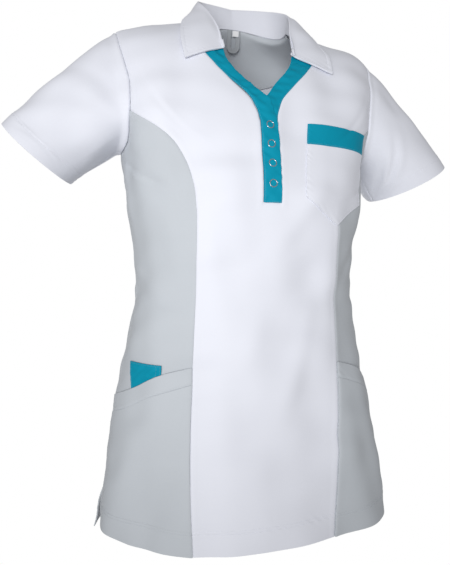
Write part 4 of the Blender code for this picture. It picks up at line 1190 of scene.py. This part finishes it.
FACING_DEPTH = 0.138
FACING_SIDE_DEPTH = 0.060
FACING_UNDER = CLOTH + 0.0032
FACING_LAP = 0.0020
FACING_LAP_MORE = {-1: 0.0035, 1: 0.0090}
FACING_LAP_TURN = radians(120)
FACING_LAP_WIDTH = radians(36)
FACING_END = SHOULDER_SEAM + radians(9)
FACING_ROW = 0.0025
FACING_ROUNDED = 16
FACING_ROUNDINGS = 24
INSIDE_STEP = TRIM + 0.0006
LOOP_LENGTH = 0.0310
LOOP_HALF_WIDTH = 0.0038
LOOP_TAPE = 0.0068
LOOP_TURN = radians(178.6)
LABEL_TURN = radians(176.0)
LABEL_SIZE = (0.0100, 0.0085)
LABEL_ROW = 0.0009
HANGS_FROM = -0.0024
HANGS_ALONG = (0.0, 0.29, -0.96)
HANGS_FACING = (0.0, -0.96, -0.29)


def inner_face(places, under):
    """The face that shows inside the neck, of a piece that lies so far under the body's outer face."""
    around, down = places[..., 0], places[..., 1]
    out = body_out(around, down)
    return body(around, down) - out * (under + TRIM), -out


def hung(turn, layer, sideways, down):
    """Points of a flat piece that hangs inside from the neck seam, and the direction out of it."""
    sideways, down = np.broadcast_arrays(sideways, down)
    seam, _ = inner_face(np.array([turn, 0.0]), FACING_UNDER + layer * INSIDE_STEP)
    points = seam + down[..., None] * np.array(HANGS_ALONG)
    points[..., 0] += sideways
    return points, np.broadcast_to(HANGS_FACING, points.shape)


around = np.linspace(FACING_END, 2 * pi - FACING_END, 121)
depth = FACING_SIDE_DEPTH + (FACING_DEPTH - FACING_SIDE_DEPTH) * np.cos(around) ** 2
places = np.stack(np.broadcast_arrays(around[None], np.linspace(0, 1, 60)[:, None] * depth[None]), -1)
points, out = inner_face(places, FACING_UNDER)
relief = stitch_relief(points, distance_to([points[-1]], points), [FACING_ROW])
points = points + out * relief[..., None]
side = np.where(around < pi, 1, -1)
turn = np.minimum(around, 2 * pi - around)
stand_top = through(COLLAR[:, 0], COLLAR[:, 1:4], np.degrees(turn))
stand_top[:, 0] *= side
more = np.where(side > 0, FACING_LAP_MORE[1], FACING_LAP_MORE[-1])
lap = FACING_LAP + more * np.exp(-((turn - FACING_LAP_TURN) / FACING_LAP_WIDTH) ** 2)
upward = unit(stand_top - points[0]) * lap[:, None]
points = np.concatenate([points[:1] + upward * np.linspace(1, 0, 9)[:-1, None, None], points])
for _ in range(FACING_ROUNDINGS):
    bend = points[:FACING_ROUNDED] + points[2:FACING_ROUNDED + 2] - 2 * points[1:FACING_ROUNDED + 1]
    points[1:FACING_ROUNDED + 1] += 0.25 * bend
out = grid_out(points, 1)
sew("back_neck_facing", points, out, GREY, thickness=TRIM)
stitch("facing_stitches", [beside(points, out, "top", FACING_ROW)], GREY)

straight = LOOP_LENGTH - LOOP_HALF_WIDTH - LOOP_TAPE
route = [(-LOOP_HALF_WIDTH, d, -1, 0) for d in np.linspace(HANGS_FROM, straight, 16)[:-1]]
route += [(-LOOP_HALF_WIDTH * cos(b), straight + LOOP_HALF_WIDTH * sin(b), -cos(b), sin(b))
          for b in np.linspace(0, pi, 33)]
route += [(LOOP_HALF_WIDTH, d, 1, 0) for d in np.linspace(straight, HANGS_FROM, 16)[1:]]
sideways, down, side_x, side_down = np.array(route).T
width = np.linspace(0, LOOP_TAPE, 9)[:, None]
points, out = hung(LOOP_TURN, 1, sideways + side_x * width, down + side_down * width)
# The loop's tape is the facing's grey, coloured darker here as painted shade for the shadows round its edges.
tape_cloth = cloth_finish("loop_tape_painted_shade", (0.400, 0.424, 0.450), (0.340, 0.361, 0.385), 0.70)
sew("hanger_loop", points, out, GREY._replace(cloth=tape_cloth), thickness=TRIM)

across = np.linspace(-0.5, 0.5, 17)[None] * LABEL_SIZE[0]
points, out = hung(LABEL_TURN, 2, across, HANGS_FROM + np.linspace(0, 1, 17)[:, None] * LABEL_SIZE[1])
# Partly a white satin label and partly painted light: it is coloured paler than the white cloth so that it
# looks lit in the shade inside the neck.
tape_cloth = cloth_finish("label_tape_painted_light", (0.930, 0.930, 0.940), (0.880, 0.880, 0.895), 0.45)
sew("neck_label", points, out, WHITE._replace(cloth=tape_cloth), thickness=TRIM)
lines = edge_stitches(points, out, ("left", "right", "top", "bottom"), LABEL_ROW)
stitch("label_stitches", lines, WHITE)


# Studio
# A plain pale floor at a wearer's feet, a white surround and two large soft lights, one from the left of the
# camera and one from behind. The camera stands where the photograph was taken from.

FLOOR_Z = -1.45
CAMERA_PLACE = (-0.2412, -0.7470, -0.3820)
CAMERA_TURN = -0.2767
CAMERA_PITCH = 0.0150
CAMERA_ROLL = -0.0053
CAMERA_FOCAL_PIXELS = 536.1
PHOTO_HEIGHT = 565
FLOOR_RADIUS = 1.2
FLOOR_GREYS = ((0.80, 0.80, 0.80), (0.78, 0.78, 0.78))
LAMP_SIZE = 0.9
Lamp = namedtuple("Lamp", "name place aim power spread")
LAMPS = [
    Lamp("key_light", (-0.68, -1.34, -0.40), (-0.06, 0.0, -0.26), 2.68, radians(55)),
    Lamp("back_light", (0.1, 2.0, -0.15), (0.0, 0.0, -0.30), 16.0, radians(180)),
]
SURROUND = 0.34

material, shader, wire = new_material("pale_floor")
tones = two_tones(wire, wire.noise(2.0), *FLOOR_GREYS)
wire.tree.links.new(tones.socket, shader.inputs["Base Color"])
shader.inputs["Roughness"].default_value = 0.9
bpy.ops.mesh.primitive_circle_add(
    vertices=96, radius=FLOOR_RADIUS, fill_type="NGON", location=(0, 0, FLOOR_Z))
floor = bpy.context.object
floor.name = "floor"
floor.data.materials.append(material)

world = bpy.data.worlds.new("white_surround")
bpy.context.scene.world = world
world.use_nodes = True
sky = Wire(world.node_tree)
background = world.node_tree.nodes["Background"]
background.inputs["Color"].default_value = (1, 1, 1, 1)
seen = sky.node("LightPath", output=0)
world.node_tree.links.new((seen * (1.0 - SURROUND) + SURROUND).socket, background.inputs["Strength"])

for lamp in LAMPS:
    light = into_scene(lamp.name, bpy.data.lights.new(lamp.name, "AREA"))
    light.data.energy, light.data.size, light.data.spread = lamp.power, LAMP_SIZE, lamp.spread
    light.location = lamp.place
    light.rotation_euler = (Vector(lamp.aim) - Vector(lamp.place)).to_track_quat("-Z", "Y").to_euler()

camera = into_scene("camera", bpy.data.cameras.new("camera"))
camera.data.lens = CAMERA_FOCAL_PIXELS / PHOTO_HEIGHT * camera.data.sensor_width
camera.matrix_world = (
    Matrix.Translation(CAMERA_PLACE) @ Matrix.Rotation(CAMERA_TURN, 4, "Z")
    @ Matrix.Rotation(pi / 2 + CAMERA_PITCH, 4, "X") @ Matrix.Rotation(CAMERA_ROLL, 4, "Z"))
bpy.context.scene.camera = camera
bpy.context.scene.view_settings.view_transform = "Standard"
